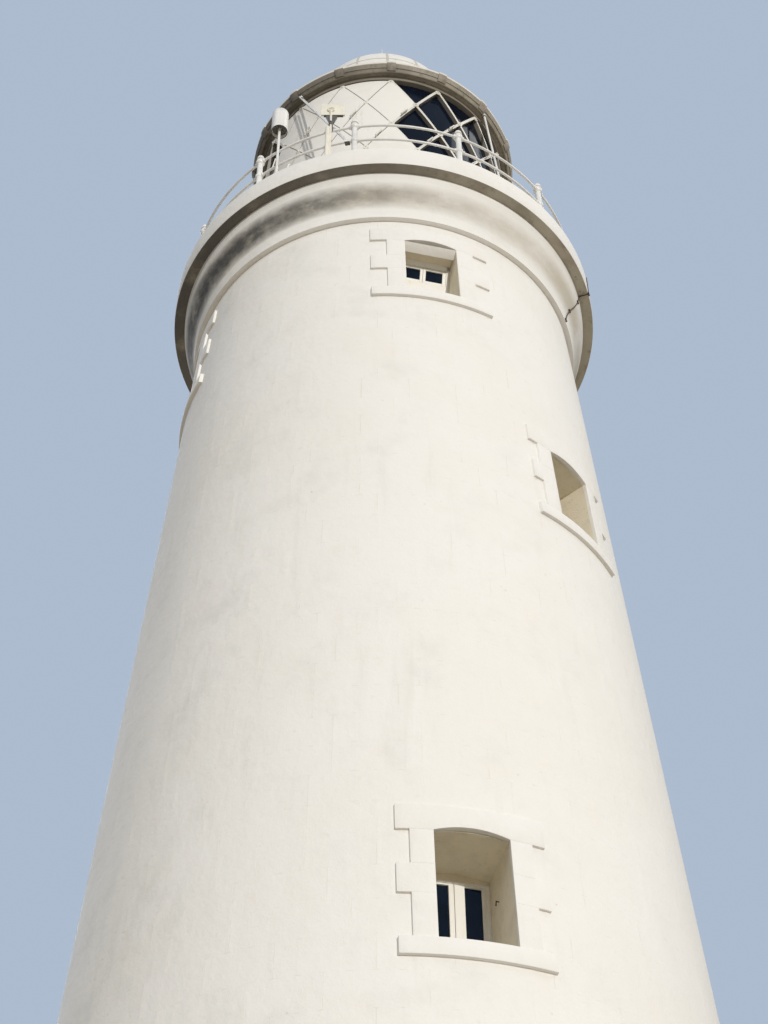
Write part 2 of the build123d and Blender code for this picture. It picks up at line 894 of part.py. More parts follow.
def hook_rod():
    """A leaning rod from the deck up to a hook under the gutter."""
    top = hook_centre(hook_rod_azimuth)
    foot = at(hook_rod_azimuth, hook_rod_foot_radius, deck_level)
    rod = rod_between(foot + (foot - top).normalized() * hook_rod_diameter, top, hook_rod_diameter)
    below_deck = standing(2 * cutter_reach, deck_level)
    return (rod - below_deck) + hook(hook_rod_azimuth)


def conductor():
    """A strip that runs down the fascia, in under the soffit and down the cove."""
    thick = conductor_thickness
    corners = [
        (gallery_radius + fit, kerb_level),
        (gallery_radius + thick, kerb_level),
        (gallery_radius + thick, cove_top - thick),
        (cove_lip_radius + fit, cove_top - thick),
        (cove_lip_radius + fit, cove_top - fit),
        (gallery_radius + fit, cove_top - fit),
    ]
    sweep = math.degrees(conductor_width / gallery_radius)
    return ring_sector(corners, conductor_azimuth, sweep)


# Nodes

def build_nodes():
    nodes = {}
    plinth = plinth_storey()
    entrance = entrance_storey()
    nodes["plinth_a"] = plinth.even
    nodes["plinth_b"] = plinth.odd
    nodes["entrance_wall_a"] = entrance.even
    nodes["entrance_wall_b"] = entrance.odd
    nodes["doorway_jambs"] = entrance.jambs

    windows = []
    jambs = []
    for index, azimuth in enumerate(stair_azimuths):
        sill = first_sill + index * window_pitch
        low = sill - sill_above_joint
        is_last = index == len(stair_azimuths) - 1
        high = service_floor_level if is_last else low + window_pitch
        storey = window_storey(low, high, well_radius, sill, [azimuth], stair_halves)
        nodes[f"stair_wall_{index + 1}_a"] = storey.even
        nodes[f"stair_wall_{index + 1}_b"] = storey.odd
        jambs += storey.jambs
        windows.append((sill, azimuth, False, stair_halves))
    service = window_storey(
        service_floor_level, shaft_top, service_room_radius, service_sill, service_azimuths, service_halves
    )
    nodes["service_wall_a"] = service.even
    nodes["service_wall_b"] = service.odd
    nodes["window_jambs"] = jambs + service.jambs
    windows += [(service_sill, azimuth, True, service_halves) for azimuth in service_azimuths]

    nodes["ground_floor"] = [ground_floor()]
    nodes["service_floor"] = [
        floor_disc(service_room_radius, service_floor_level, service_floor_thickness)
    ]
    nodes["lantern_floor"] = [floor_disc(well_radius, cove_top, deck_level - cove_top)]

    sills = []
    quoins = []
    lintels = []
    frames = []
    glass = []
    for sill, azimuth, sloped, halves in windows:
        springing = sill + window_height
        sills.append(turned(sill_stone(sill, halves[0]), azimuth))
        pair = quoin_pair(window_width, sill, springing, halves)
        quoins += [turned(stone, azimuth) for stone in pair]
        lintel = lintel_stone(window_width, springing, window_arch_rise, halves[0])
        lintels.append(turned(lintel, azimuth))
        place = window_place(sill, azimuth, sloped)
        frame = sloped_frame() if sloped else upright_frame()
        frames.append(place * frame)
        glass += [place * pane for pane in panes(sloped)]
    nodes["window_sills"] = sills
    nodes["window_quoins"] = quoins
    nodes["window_lintels"] = lintels
    nodes["window_frames"] = frames
    nodes["window_glass"] = glass
    nodes["door_quoins"] = quoin_pair(door_width, plinth_height, door_springing, stair_halves)
    nodes["door_lintel"] = [lintel_stone(door_width, door_springing, door_arch_rise, long_half_width)]
    frame, leaf = door_frame_and_leaf()
    nodes["door_frame"] = [frame]
    nodes["entrance_door"] = [leaf]

    nodes["cornice_a"], nodes["cornice_b"] = alternate_sectors(cornice_outline())
    gallery = make_face(Polyline(*[(r, 0, z) for r, z in gallery_corners()], close=True))
    nodes["gallery_slab_a"], nodes["gallery_slab_b"] = alternate_sectors(gallery)

    posts = [first_post_azimuth + index * 360.0 / post_count for index in range(post_count)]
    nodes["rail_posts"] = [turned(rail_post(), azimuth) for azimuth in posts]
    nodes["top_rails"] = [turned(rail_length(top_rail_level), azimuth) for azimuth in posts]
    nodes["lower_rails"] = [turned(rail_length(lower_rail_level), azimuth) for azimuth in posts]

    nodes["murette_a"], nodes["murette_b"] = murette()
    nodes["gallery_door"] = [gallery_door()]
    nodes["lantern_curb"] = [lantern_ring(murette_outer_radius, murette_top, glazing_bottom)]
    nodes["glazing_bars_a"], nodes["glazing_bars_b"] = lantern_panel_sets()
    nodes["clear_panes"], nodes["blank_panes"] = lantern_panes()
    head_radius = glazing_radius + lantern_head_projection
    nodes["lantern_head"] = [lantern_ring(head_radius, glazing_top, gutter_level)]
    (nodes["gutter_a"], nodes["gutter_b"]), nodes["gutter_straps"] = gutter_pieces()
    nodes["roof_dome"] = [roof_dome()]
    nodes["roof_vent"] = [roof_vent()]

    nodes["signal_drum"] = [signal_drum()]
    nodes["sensor_box"] = [sensor_box()]
    nodes["hanging_bar"] = [hanging_bar()]
    nodes["hook_rod"] = [hook_rod()]
    nodes["conductor"] = [conductor()]
    return nodes


os.makedirs("parts", exist_ok=True)
for name, pieces in build_nodes().items():
    solids = [solid for piece in pieces for solid in solids_of(piece)]
    export_step(Compound(children=solids) if len(solids) > 1 else solids[0], f"parts/{name}.step")
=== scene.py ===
import math
import random

import bpy
from mathutils import Matrix, Vector


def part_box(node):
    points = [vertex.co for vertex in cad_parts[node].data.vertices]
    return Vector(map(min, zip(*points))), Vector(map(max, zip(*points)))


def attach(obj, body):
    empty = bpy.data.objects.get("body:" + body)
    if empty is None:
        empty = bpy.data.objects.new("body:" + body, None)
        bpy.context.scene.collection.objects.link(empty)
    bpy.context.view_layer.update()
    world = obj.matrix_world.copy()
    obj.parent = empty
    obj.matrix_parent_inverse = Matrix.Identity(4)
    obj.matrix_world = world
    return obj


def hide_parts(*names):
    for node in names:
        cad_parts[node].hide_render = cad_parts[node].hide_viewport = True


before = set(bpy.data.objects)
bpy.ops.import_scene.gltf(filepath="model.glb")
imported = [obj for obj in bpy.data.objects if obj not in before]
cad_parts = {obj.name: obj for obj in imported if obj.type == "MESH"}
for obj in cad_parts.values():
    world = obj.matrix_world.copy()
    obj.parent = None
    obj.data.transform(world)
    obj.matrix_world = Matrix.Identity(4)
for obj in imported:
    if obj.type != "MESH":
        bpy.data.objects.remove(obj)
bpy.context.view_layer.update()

bpy.ops.object.select_all(action="DESELECT")
choice = random.Random(7)

# Sizes shared with the construction, in metres and degrees
BASE_RADIUS = 4.16
BATTER = 0.0566
PLINTH_RADIUS = 4.45
PLINTH_TOP = 0.95
PLINTH_SHOULDER = 0.89
SHAFT_TOP = 22.60
STAIR_WINDOWS = [(3.42, 270), (6.80, 180), (10.18, 0), (13.56, 180), (16.94, 36)]
SERVICE_WINDOWS = [(20.83, 0), (20.83, 90), (20.83, 180), (20.83, 270)]
WINDOWS = STAIR_WINDOWS + SERVICE_WINDOWS
WINDOW_HEIGHT = 1.23
STAIR_RECESS = 0.80
SERVICE_HEAD_RECESS = 0.33
SERVICE_LEAN = math.radians(18)
STAIR_HALVES = (0.745, 0.61)
SERVICE_HALVES = (0.86, 0.635)
SURROUND_STEPS = (0.49, 0.825)
SURROUND_PROJECTION = 0.032
LINTEL_HEIGHT = 0.30
SILL_HEIGHT = 0.19
DOOR_HALF = 0.475
DOOR_SPRINGING = 2.25
GALLERY_RADIUS = 3.3408
COVE_LIP_RADIUS = 3.1758
SOFFIT_LEVEL = 23.43
KERB_LEVEL = 23.855
RAIL_RADIUS = 3.1108
TOP_RAIL_LEVEL = 24.87
LOWER_RAIL_LEVEL = 24.47
POST_COUNT = 12
FIRST_POST = 8.7
GLAZING_RADIUS = 2.135
GLAZING_BOTTOM = 25.17
LATTICE_ROW = 0.70
LATTICE_ROWS = 4
LATTICE_START = -9.4
HALF_STEP = 11.25
GUTTER_SIDE = 22.5
EAVES_LEVEL = 28.17
ROD_SHOULDER = 32.9
BLANK_CELLS = (-73.0, -5.0)
FITTING_RADIUS = 3.1553
SENSOR_AZIMUTH = -28.1
SENSOR_LEVEL = 25.465
BAR_HOOK = (-51.5, 2.2585, 28.01)
BAR_CLAMP = (-23.3, 3.1108, 24.49)
CONDUCTOR_AZIMUTH = 60.0

# Sizes of the dressing alone
COURSES = 56
BANDS = 7
COURSE_FACES = 96
FACING_SETBACK = 0.001
FACING_RELIEF = 0.002
PLINTH_RELIEF = 0.006
STONE_GAP = 0.003
STONE_EASE = 0.0035
GROOVE_DEPTH = 0.0025
TIMBER_HALF = 0.035
REVEAL_HALF = 0.378
SKIN = 0.002

ORIGIN = (0, 0, 0)
UP = (0, 0, 1)
DOWN = (0, 0, -1)


# Hand tools

def wall_radius(z):
    return BASE_RADIUS - BATTER * z


def at(azimuth, radius, z):
    """A point by its azimuth, which turns from the front (-Y) towards +X."""
    a = math.radians(azimuth)
    return Vector((radius * math.sin(a), -radius * math.cos(a), z))


def outward(point):
    return Vector((point.x, point.y, 0)).normalized()


def pick(*pieces):
    bpy.ops.object.select_all(action="DESELECT")
    for piece in pieces:
        piece.select_set(True)
    bpy.context.view_layer.objects.active = pieces[0]


def named(name):
    piece = bpy.context.object
    piece.name = name
    piece.data.name = name
    return piece


def joined(name, pieces):
    pick(*pieces)
    if len(pieces) > 1:
        bpy.ops.object.join()
    return named(name)


def settle(piece):
    """Puts the object's place into its mesh."""
    pick(piece)
    bpy.ops.object.transform_apply(location=True, rotation=True, scale=True)
    return piece


def placed(name, data):
    """A new object in the scene."""
    piece = bpy.data.objects.new(name, data)
    bpy.context.scene.collection.objects.link(piece)
    return piece


def drop(*pieces):
    for piece in pieces:
        bpy.data.objects.remove(piece, do_unlink=True)


def turned(piece, azimuth):
    """Carries a piece round the tower."""
    piece.data.transform(Matrix.Rotation(math.radians(azimuth), 4, "Z"))
    return piece


def all_round(name, piece, first, count):
    """One object of evenly turned copies of a piece."""
    copies = [turned(placed(name, piece.data.copy()), first + k * 360.0 / count) for k in range(count)]
    drop(piece)
    return joined(name, copies)


def edit_all(piece):
    pick(piece)
    bpy.ops.object.mode_set(mode="EDIT")
    bpy.ops.mesh.select_all(action="SELECT")


def leave_edit():
    bpy.ops.object.mode_set(mode="OBJECT")


def select_none(piece, kind):
    """Empties the selection of faces or edges, and comes back to object mode to fill it."""
    pick(piece)
    bpy.ops.object.mode_set(mode="EDIT")
    bpy.ops.mesh.select_mode(type=kind)
    bpy.ops.mesh.select_all(action="DESELECT")
    leave_edit()


def edit_faces(piece, wanted):
    """Goes into edit mode with the faces selected that pass a test."""
    select_none(piece, "FACE")
    for face in piece.data.polygons:
        face.select = wanted(face)
    bpy.ops.object.mode_set(mode="EDIT")


def edit_edges(piece, wanted):
    """Goes into edit mode with the edges selected whose two ends pass a test."""
    select_none(piece, "EDGE")
    points = piece.data.vertices
    for edge in piece.data.edges:
        edge.select = wanted(points[edge.vertices[0]].co, points[edge.vertices[1]].co)
    bpy.ops.object.mode_set(mode="EDIT")


def slice_all(piece, planes, **options):
    """Cuts all of a piece along planes, each a point and a normal."""
    edit_all(piece)
    for point, normal in planes:
        bpy.ops.mesh.select_all(action="SELECT")
        bpy.ops.mesh.bisect(plane_co=point, plane_no=normal, **options)
    leave_edit()


def slice_in_strips(piece, half, count):
    """Cuts a piece across its width into equal strips."""
    slice_all(piece, [((half * (2 * k / count - 1), 0, 0), (1, 0, 0)) for k in range(1, count)])


def keep_between(piece, low, high):
    """Cuts away what lies below one level and above another."""
    slice_all(piece, [((0, 0, low), DOWN), ((0, 0, high), UP)], clear_outer=True)


def fatten(piece, amount):
    edit_all(piece)
    bpy.ops.transform.shrink_fatten(value=amount)
    leave_edit()


def mend_skin(piece, gap=0.0):
    """Merges points that lie within a gap and turns all faces outwards."""
    edit_all(piece)
    if gap:
        bpy.ops.mesh.remove_doubles(threshold=gap)
    bpy.ops.mesh.normals_make_consistent(inside=False)
    leave_edit()


def apply_modifier(piece, kind, **values):
    pick(piece)
    modifier = piece.modifiers.new(kind.lower(), kind)
    for key, value in values.items():
        setattr(modifier, key, value)
    bpy.ops.object.modifier_apply(modifier=modifier.name)


def round_arrises(piece, width, angle=35, segments=2):
    apply_modifier(piece, "BEVEL", width=width, segments=segments, limit_method="ANGLE",
                   angle_limit=math.radians(angle), use_clamp_overlap=True)
    return piece


def cut_away(piece, *cutters):
    for cutter in cutters:
        apply_modifier(piece, "BOOLEAN", operation="DIFFERENCE", solver="EXACT", object=cutter)
    drop(*cutters)


def block(name, low, high):
    """A box from corner to corner."""
    size = [h - l for l, h in zip(low, high)]
    middle = [(h + l) / 2 for l, h in zip(low, high)]
    bpy.ops.mesh.primitive_cube_add(size=1, location=middle, scale=size)
    return settle(named(name))


def bar(name, start, end, radius, vertices=12, bevel=0.0):
    """A round bar between two points, with its ends eased."""
    start, end = Vector(start), Vector(end)
    along = end - start
    bpy.ops.mesh.primitive_cylinder_add(vertices=vertices, radius=radius, depth=along.length,
                                        location=(start + end) / 2,
                                        rotation=along.to_track_quat("Z", "Y").to_euler())
    piece = settle(named(name))
    return round_arrises(piece, bevel, 60) if bevel else piece


def ball(name, centre, radius, segments=20):
    bpy.ops.mesh.primitive_uv_sphere_add(segments=segments, ring_count=segments // 2, radius=radius,
                                         location=centre)
    return settle(named(name))


def ring(name, radius, section, segments, section_segments, centre, rotation=(0, 0, 0)):
    """A round ring whose section is a polygon or nearly round."""
    bpy.ops.mesh.primitive_torus_add(major_radius=radius, minor_radius=section, major_segments=segments,
                                     minor_segments=section_segments, location=centre, rotation=rotation)
    return settle(named(name))


def node_copy(name, *nodes):
    """A clean copy of CAD nodes to work on: doubles merged and flat faces whole."""
    piece = joined(name, [placed(name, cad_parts[node].data.copy()) for node in nodes])
    bpy.ops.mesh.customdata_custom_splitnormals_clear()
    edit_all(piece)
    bpy.ops.mesh.remove_doubles(threshold=0.0001)
    bpy.ops.mesh.dissolve_limited(angle_limit=math.radians(0.6))
    leave_edit()
    return piece


def second_finish(piece, wanted):
    """Gives the second finish to the faces that pass a test, and the first to the others."""
    for face in piece.data.polygons:
        face.material_index = 1 if wanted(face) else 0


def finish_piece(piece, slot, *finishes, shade=32, replaces=()):
    """Shades a piece smooth up to an angle, and gives it its materials and its body; the slot is not used."""
    if shade:
        pick(piece)
        bpy.ops.object.shade_smooth_by_angle(angle=math.radians(shade))
    kept = [face.material_index for face in piece.data.polygons]
    piece.data.materials.clear()
    for finish in finishes:
        piece.data.materials.append(finish)
    last = len(finishes) - 1
    piece.data.polygons.foreach_set("material_index", [min(index, last) for index in kept])
    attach(piece, "root")
    if replaces:
        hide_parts(*replaces)


def dress_node(name, node, slot, finish, ease=0.0, shade=32):
    """A node's own shape, with eased arrises and its finish."""
    piece = node_copy(name, node)
    if ease:
        round_arrises(piece, ease)
    finish_piece(piece, slot, finish, shade=shade, replaces=(node,))


def refinish(finish, *nodes):
    for node in nodes:
        for material_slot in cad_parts[node].material_slots:
            material_slot.material = finish


def add_node(tree, kind, inputs=(), **settings):
    """A shader node with its settings, and its inputs fed by number or label."""
    node = tree.nodes.new("ShaderNode" + kind)
    for key, value in settings.items():
        setattr(node, key, value)
    for key, value in dict(inputs).items():
        if isinstance(value, bpy.types.NodeSocket):
            tree.links.new(value, node.inputs[key])
        else:
            node.inputs[key].default_value = value
    return node


def worked_out(tree, operation, first, second, **settings):
    return add_node(tree, "Math", {0: first, 1: second}, operation=operation, **settings).outputs[0]


# Camera, light, floor

def place_camera():
    """Stands 17 m off the axis, a little left of the front, and looks up at the lantern."""
    focal_pixels, image_height, sensor = 1720.0, 1024.0, 36.0
    azimuth, distance, eye_level = -13.4, 17.0, 1.6
    heading, pitch, roll = 13.36, 46.5, -0.32
    data = bpy.data.cameras.new("camera")
    data.sensor_width = sensor
    data.lens = focal_pixels * sensor / image_height
    data.clip_end = 500.0
    camera = placed("camera", data)
    turn = Matrix.Identity(4)
    for angle, axis in ((-heading, "Z"), (90 + pitch, "X"), (roll, "Z")):
        turn = turn @ Matrix.Rotation(math.radians(angle), 4, axis)
    camera.matrix_world = Matrix.Translation(at(azimuth, distance, eye_level)) @ turn
    bpy.context.scene.camera = camera


def sun_lamp(name, azimuth, elevation, strength, softness, color):
    data = bpy.data.lights.new(name, "SUN")
    data.energy = strength
    data.angle = math.radians(softness)
    data.color = color
    source = at(azimuth, 1.0, math.tan(math.radians(elevation)))
    placed(name, data).matrix_world = source.to_track_quat("Z", "Y").to_matrix().to_4x4()


def place_lights():
    """A low key a little to the right of the front, wide soft fills from both sides and the back, and an even sky."""
    sun_lamp("key", 6.5, 8.5, 2.15, 1.6, (1.0, 0.972, 0.925))
    sun_lamp("left_fill", -52.0, 42.0, 0.52, 40.0, (0.95, 0.97, 1.0))
    sun_lamp("right_fill", 78.0, 42.0, 0.62, 40.0, (1.0, 0.985, 0.96))
    sun_lamp("back_fill", 190.0, 34.0, 0.98, 40.0, (0.97, 0.98, 1.0))
    world = bpy.data.worlds.new("sky")
    bpy.context.scene.world = world
    world.use_nodes = True
    tree = world.node_tree
    tree.nodes.clear()
    light = add_node(tree, "Background", {"Color": (0.86, 0.92, 1.0, 1), "Strength": 0.18})
    backdrop = add_node(tree, "Background", {"Color": (0.42, 0.50, 0.62, 1), "Strength": 1.0})
    ray = add_node(tree, "LightPath").outputs
    mirrored = worked_out(tree, "MAXIMUM", ray["Is Transmission Ray"], ray["Is Glossy Ray"])
    seen = worked_out(tree, "MAXIMUM", ray["Is Camera Ray"], mirrored)
    sky = add_node(tree, "MixShader", {"Fac": seen, 1: light.outputs[0], 2: backdrop.outputs[0]})
    add_node(tree, "OutputWorld", {"Surface": sky.outputs[0]})


def lay_floor():
    bpy.ops.mesh.primitive_plane_add(size=240, location=ORIGIN)
    floor = named("floor")
    finish = bpy.data.materials.new("floor_paint")
    finish.use_nodes = True
    tree = finish.node_tree
    seen = add_node(tree, "LightPath").outputs["Is Camera Ray"]
    tone = add_node(tree, "Mix", {"Factor": seen, "A": (0.50, 0.44, 0.355, 1), "B": (0.68, 0.64, 0.57, 1)},
                    data_type="RGBA")
    shader = tree.nodes["Principled BSDF"]
    tree.links.new(tone.outputs["Result"], shader.inputs["Base Color"])
    shader.inputs["Roughness"].default_value = 0.9
    floor.data.materials.append(finish)


# Effects that several finishes share

def effect(name, **numbers):
    """An empty node group that takes a place and some numbers, and gives a mask from 0 to 1."""
    group = bpy.data.node_groups.new(name, "ShaderNodeTree")
    group.interface.new_socket(name="Place", in_out="INPUT", socket_type="NodeSocketVector")
    for label, value in numbers.items():
        socket = group.interface.new_socket(name=label, in_out="INPUT", socket_type="NodeSocketFloat")
        socket.default_value = value
    group.interface.new_socket(name="Mask", in_out="OUTPUT", socket_type="NodeSocketFloat")
    return group, group.nodes.new("NodeGroupInput").outputs, group.nodes.new("NodeGroupOutput").inputs["Mask"]


def patches_effect():
    """Soft patches of another tone."""
    group, given, mask = effect("tone_patches", Size=1.0, Stretch=1.0, From=0.4, To=0.7)
    axes = add_node(group, "CombineXYZ", {0: 1.0, 1: 1.0, 2: given["Stretch"]})
    place = add_node(group, "VectorMath", {0: given["Place"], 1: axes.outputs[0]}, operation="MULTIPLY")
    scale = worked_out(group, "DIVIDE", 1.0, given["Size"])
    noise = add_node(group, "TexNoise", {"Vector": place.outputs[0], "Scale": scale, "Detail": 6.0,
                                         "Roughness": 0.62})
    ramp = add_node(group, "MapRange", {"Value": noise.outputs[0], "From Min": given["From"],
                                        "From Max": given["To"]}, interpolation_type="SMOOTHSTEP")
    group.links.new(ramp.outputs[0], mask)
    return group


def chips_effect():
    """Small round pits and flakes."""
    group, given, mask = effect("small_chips", Spacing=0.1, Radius=0.2, Where=1.0)
    scale = worked_out(group, "DIVIDE", 1.0, given["Spacing"])
    cells = add_node(group, "TexVoronoi", {"Vector": given["Place"], "Scale": scale})
    half = worked_out(group, "MULTIPLY", given["Radius"], 0.5)
    ramp = add_node(group, "MapRange", {"Value": cells.outputs["Distance"], "From Min": half,
                                        "From Max": given["Radius"], "To Min": 1.0, "To Max": 0.0},
                    interpolation_type="SMOOTHSTEP")
    group.links.new(worked_out(group, "MULTIPLY", ramp.outputs[0], given["Where"]), mask)
    return group


def stain_and_shade_side_effect():
    """How far a spot lies towards the left of the tower, seen from the front: the side out of the key light, where
    stains are heavier and painted shade is laid.
    """
    group, given, mask = effect("stain_and_shade_side", Least=0.2)
    side = add_node(group, "VectorMath", {0: given["Place"], 1: (-0.97, -0.25, 0.0)}, operation="DOT_PRODUCT")
    ramp = add_node(group, "MapRange", {"Value": side.outputs["Value"], "From Min": -1.5, "From Max": 3.2,
                                        "To Min": given["Least"], "To Max": 1.0})
    group.links.new(ramp.outputs[0], mask)
    return group


def level_band_effect():
    """A soft band between two heights."""
    group, given, mask = effect("level_band", Low=0.0, High=1.0, Soft=0.1)
    height = add_node(group, "SeparateXYZ", {0: given["Place"]}).outputs["Z"]
    edges = [worked_out(group, "DIVIDE", worked_out(group, "SUBTRACT", upper, lower), given["Soft"], use_clamp=True)
             for upper, lower in ((height, given["Low"]), (given["High"], height))]
    group.links.new(worked_out(group, "MULTIPLY", *edges), mask)
    return group


PATCHES = patches_effect()
CHIPS = chips_effect()
STAIN_AND_SHADE_SIDE = stain_and_shade_side_effect()
BAND = level_band_effect()


class Finish:
    """A procedural material put together from shared effects on Object coordinates."""

    def __init__(self, name, color, roughness=0.6, metallic=0.0):
        self.material = bpy.data.materials.new(name)
        self.material.use_nodes = True
        self.tree = self.material.node_tree
        self.shader = self.tree.nodes["Principled BSDF"]
        self.shader.inputs["Metallic"].default_value = metallic
        self.shader.inputs["Roughness"].default_value = roughness
        self.place = add_node(self.tree, "TexCoord").outputs["Object"]
        self.color = add_node(self.tree, "RGB").outputs[0]
        self.color.default_value = (*color, 1)
        self.height = None

    def add(self, group, **values):
        return add_node(self.tree, "Group", {"Place": self.place, **values}, node_tree=group).outputs["Mask"]

    def patches(self, size, start, end, stretch=1.0):
        return self.add(PATCHES, Size=size, Stretch=stretch, From=start, To=end)

    def chips(self, spacing, radius, where=1.0):
        return self.add(CHIPS, Spacing=spacing, Radius=radius, Where=where)

    def stain_and_shade_side(self, least=0.0):
        return self.add(STAIN_AND_SHADE_SIDE, Least=least)

    def band(self, low, high, soft):
        return self.add(BAND, Low=low, High=high, Soft=soft)

    def times(self, first, second):
        return worked_out(self.tree, "MULTIPLY", first, second)

    def power(self, mask, exponent):
        return worked_out(self.tree, "POWER", mask, exponent)

    def stain(self, mask, color, share=None):
        """Lays another colour over the last one where the mask says, or a share of it."""
        if share is not None:
            mask = self.times(mask, share)
        mix = add_node(self.tree, "Mix", {"Factor": mask, "A": self.color, "B": (*color, 1)}, data_type="RGBA")
        self.color = mix.outputs["Result"]

    def raise_by(self, mask, amount):
        """Adds to the surface's height, in metres."""
        part = self.times(mask, amount)
        self.height = part if self.height is None else worked_out(self.tree, "ADD", self.height, part)

    def grain(self, size, amount, stretch=1.0):
        self.raise_by(self.patches(size, 0.3, 0.7, stretch), amount)

    def waves(self, size, amount):
        self.raise_by(self.patches(size, 0.2, 0.8), amount)

    def roughness_from(self, mask, smooth_end, rough_end):
        ramp = add_node(self.tree, "MapRange", {"Value": mask, "To Min": smooth_end, "To Max": rough_end})
        self.tree.links.new(ramp.outputs[0], self.shader.inputs["Roughness"])

    def done(self):
        self.tree.links.new(self.color, self.shader.inputs["Base Color"])
        if self.height is not None:
            bump = add_node(self.tree, "Bump", {"Strength": 1.0, "Distance": 1.0, "Height": self.height})
            self.tree.links.new(bump.outputs[0], self.shader.inputs["Normal"])
        return self.material


# Finishes

def toned(color, share):
    return tuple(share * c for c in color)


def limewash(name, cove=False):
    """Thick white paint on dressed stone: warm and cool patches, faint rain marks, pits and flakes."""
    f = Finish(name, (0.885, 0.866, 0.822), 0.72)
    # The greyer patches, rain marks and blots are heavier towards the shaded left: partly weathering, partly painted
    # shade.
    side = f.stain_and_shade_side(0.22)
    f.stain(f.patches(1.9, 0.42, 0.66), (0.865, 0.838, 0.775), 0.70)
    f.stain(f.patches(0.55, 0.56, 0.74), (0.865, 0.80, 0.725), 0.45)
    f.stain(f.patches(0.85, 0.50, 0.74), (0.74, 0.725, 0.68), f.times(side, 0.60))
    f.stain(f.patches(0.22, 0.54, 0.80, 0.09), (0.70, 0.675, 0.61), f.times(side, 0.42))
    blots = f.patches(0.16, 0.62, 0.80)
    f.stain(blots, (0.68, 0.645, 0.57), f.times(side, 0.35))
    if cove:
        # The cove's brown band under the slab and its dark grime and mould towards the left: partly dirt, partly
        # painted shade under the slab and on the shaded side.
        height = f.band(22.79, 23.25, 0.17)
        side_share = f.power(f.stain_and_shade_side(), 2.6)
        haze_and_shade = f.patches(1.3, 0.25, 0.62, 2.2)
        grime_and_shade = f.patches(0.85, 0.18, 0.54, 2.6)
        mould_and_shade = f.patches(0.30, 0.30, 0.62, 1.8)
        f.stain(height, (0.58, 0.515, 0.40), f.times(haze_and_shade, 0.72))
        f.stain(height, (0.12, 0.108, 0.088), f.times(grime_and_shade, side_share))
        f.stain(height, (0.05, 0.048, 0.045), f.times(mould_and_shade, f.times(side_share, 0.95)))
    pits = f.chips(0.19, 0.11, f.patches(0.9, 0.54, 0.68))
    f.stain(pits, (0.58, 0.54, 0.46), 0.35)
    f.stain(f.chips(0.83, 0.022, f.patches(1.7, 0.50, 0.60)), (0.40, 0.35, 0.29), 0.55)
    f.waves(0.65, 0.008)
    f.grain(0.12, 0.0018)
    f.grain(0.020, 0.0006)
    f.raise_by(pits, -0.0015)
    f.roughness_from(blots, 0.62, 0.85)
    return f.done()


def joint_paint():
    """Paint that bridges the joints: mostly as white as the wall, thin and grey here and there."""
    f = Finish("joint_paint", (0.87, 0.84, 0.775), 0.8)
    f.stain(f.patches(0.42, 0.47, 0.60), (0.70, 0.655, 0.575), 0.75)
    f.stain(f.patches(0.15, 0.60, 0.72), (0.50, 0.455, 0.385), f.times(f.stain_and_shade_side(0.25), 0.8))
    f.grain(0.02, 0.0008)
    return f.done()


def shaded_soffit():
    """The underside of the gallery: dirt out of the rain and painted shade, nearly black in patches towards the shaded
    left.
    """
    f = Finish("soffit_paint", (0.56, 0.51, 0.415), 0.8)
    f.stain(f.patches(0.42, 0.42, 0.66), (0.44, 0.39, 0.305))
    f.stain(f.patches(0.12, 0.55, 0.75), (0.29, 0.25, 0.19), 0.8)
    f.stain(f.stain_and_shade_side(), (0.13, 0.12, 0.105), f.patches(0.9, 0.20, 0.50))
    f.stain(f.chips(0.16, 0.16), (0.16, 0.135, 0.10), 0.5)
    f.grain(0.03, 0.0015)
    return f.done()


def reveal_plaster_and_shade():
    """Ochre-grey plaster in the heads of the openings: partly stained out of the rain, partly painted shade."""
    f = Finish("reveal_plaster_and_shade", (0.86, 0.785, 0.62), 0.8)
    f.stain(f.patches(0.30, 0.42, 0.66), (0.78, 0.705, 0.55))
    f.stain(f.patches(0.07, 0.55, 0.75), (0.58, 0.51, 0.39), 0.5)
    f.stain(f.chips(0.11, 0.14, f.patches(0.3, 0.5, 0.66)), (0.22, 0.185, 0.14), 0.5)
    f.grain(0.03, 0.0012)
    return f.done()


def iron_paint(name, color, rust=0.5, gloss=0.42):
    """Gloss paint on iron with brush marks, dirt and small rust runs."""
    f = Finish(name, color, gloss)
    f.stain(f.patches(0.35, 0.45, 0.7), toned(color, 0.86))
    dirt = f.patches(0.07, 0.56, 0.76, 0.35)
    f.stain(dirt, toned(color, 0.62), 0.45)
    spots = f.chips(0.055, 0.16, f.patches(0.25, 0.52, 0.66))
    f.stain(spots, (0.26, 0.12, 0.045), rust)
    f.stain(f.patches(0.045, 0.64, 0.76, 0.16), (0.42, 0.25, 0.12), rust * 0.6)
    f.grain(0.012, 0.0004, 0.4)
    f.raise_by(spots, -0.0006)
    f.roughness_from(dirt, gloss - 0.06, gloss + 0.22)
    return f.done()


def blank_panel():
    """Sheet panels behind the lattice, painted white, with faint seams of dirt."""
    f = Finish("blank_panel", (0.88, 0.855, 0.80), 0.5)
    f.stain(f.patches(0.9, 0.45, 0.7), (0.84, 0.805, 0.735))
    f.stain(f.patches(0.16, 0.58, 0.78, 0.3), (0.60, 0.55, 0.47), 0.5)
    f.stain(f.chips(0.13, 0.10, f.patches(0.4, 0.52, 0.66)), (0.40, 0.33, 0.25), 0.6)
    f.waves(0.30, 0.003)
    f.grain(0.015, 0.0003)
    return f.done()


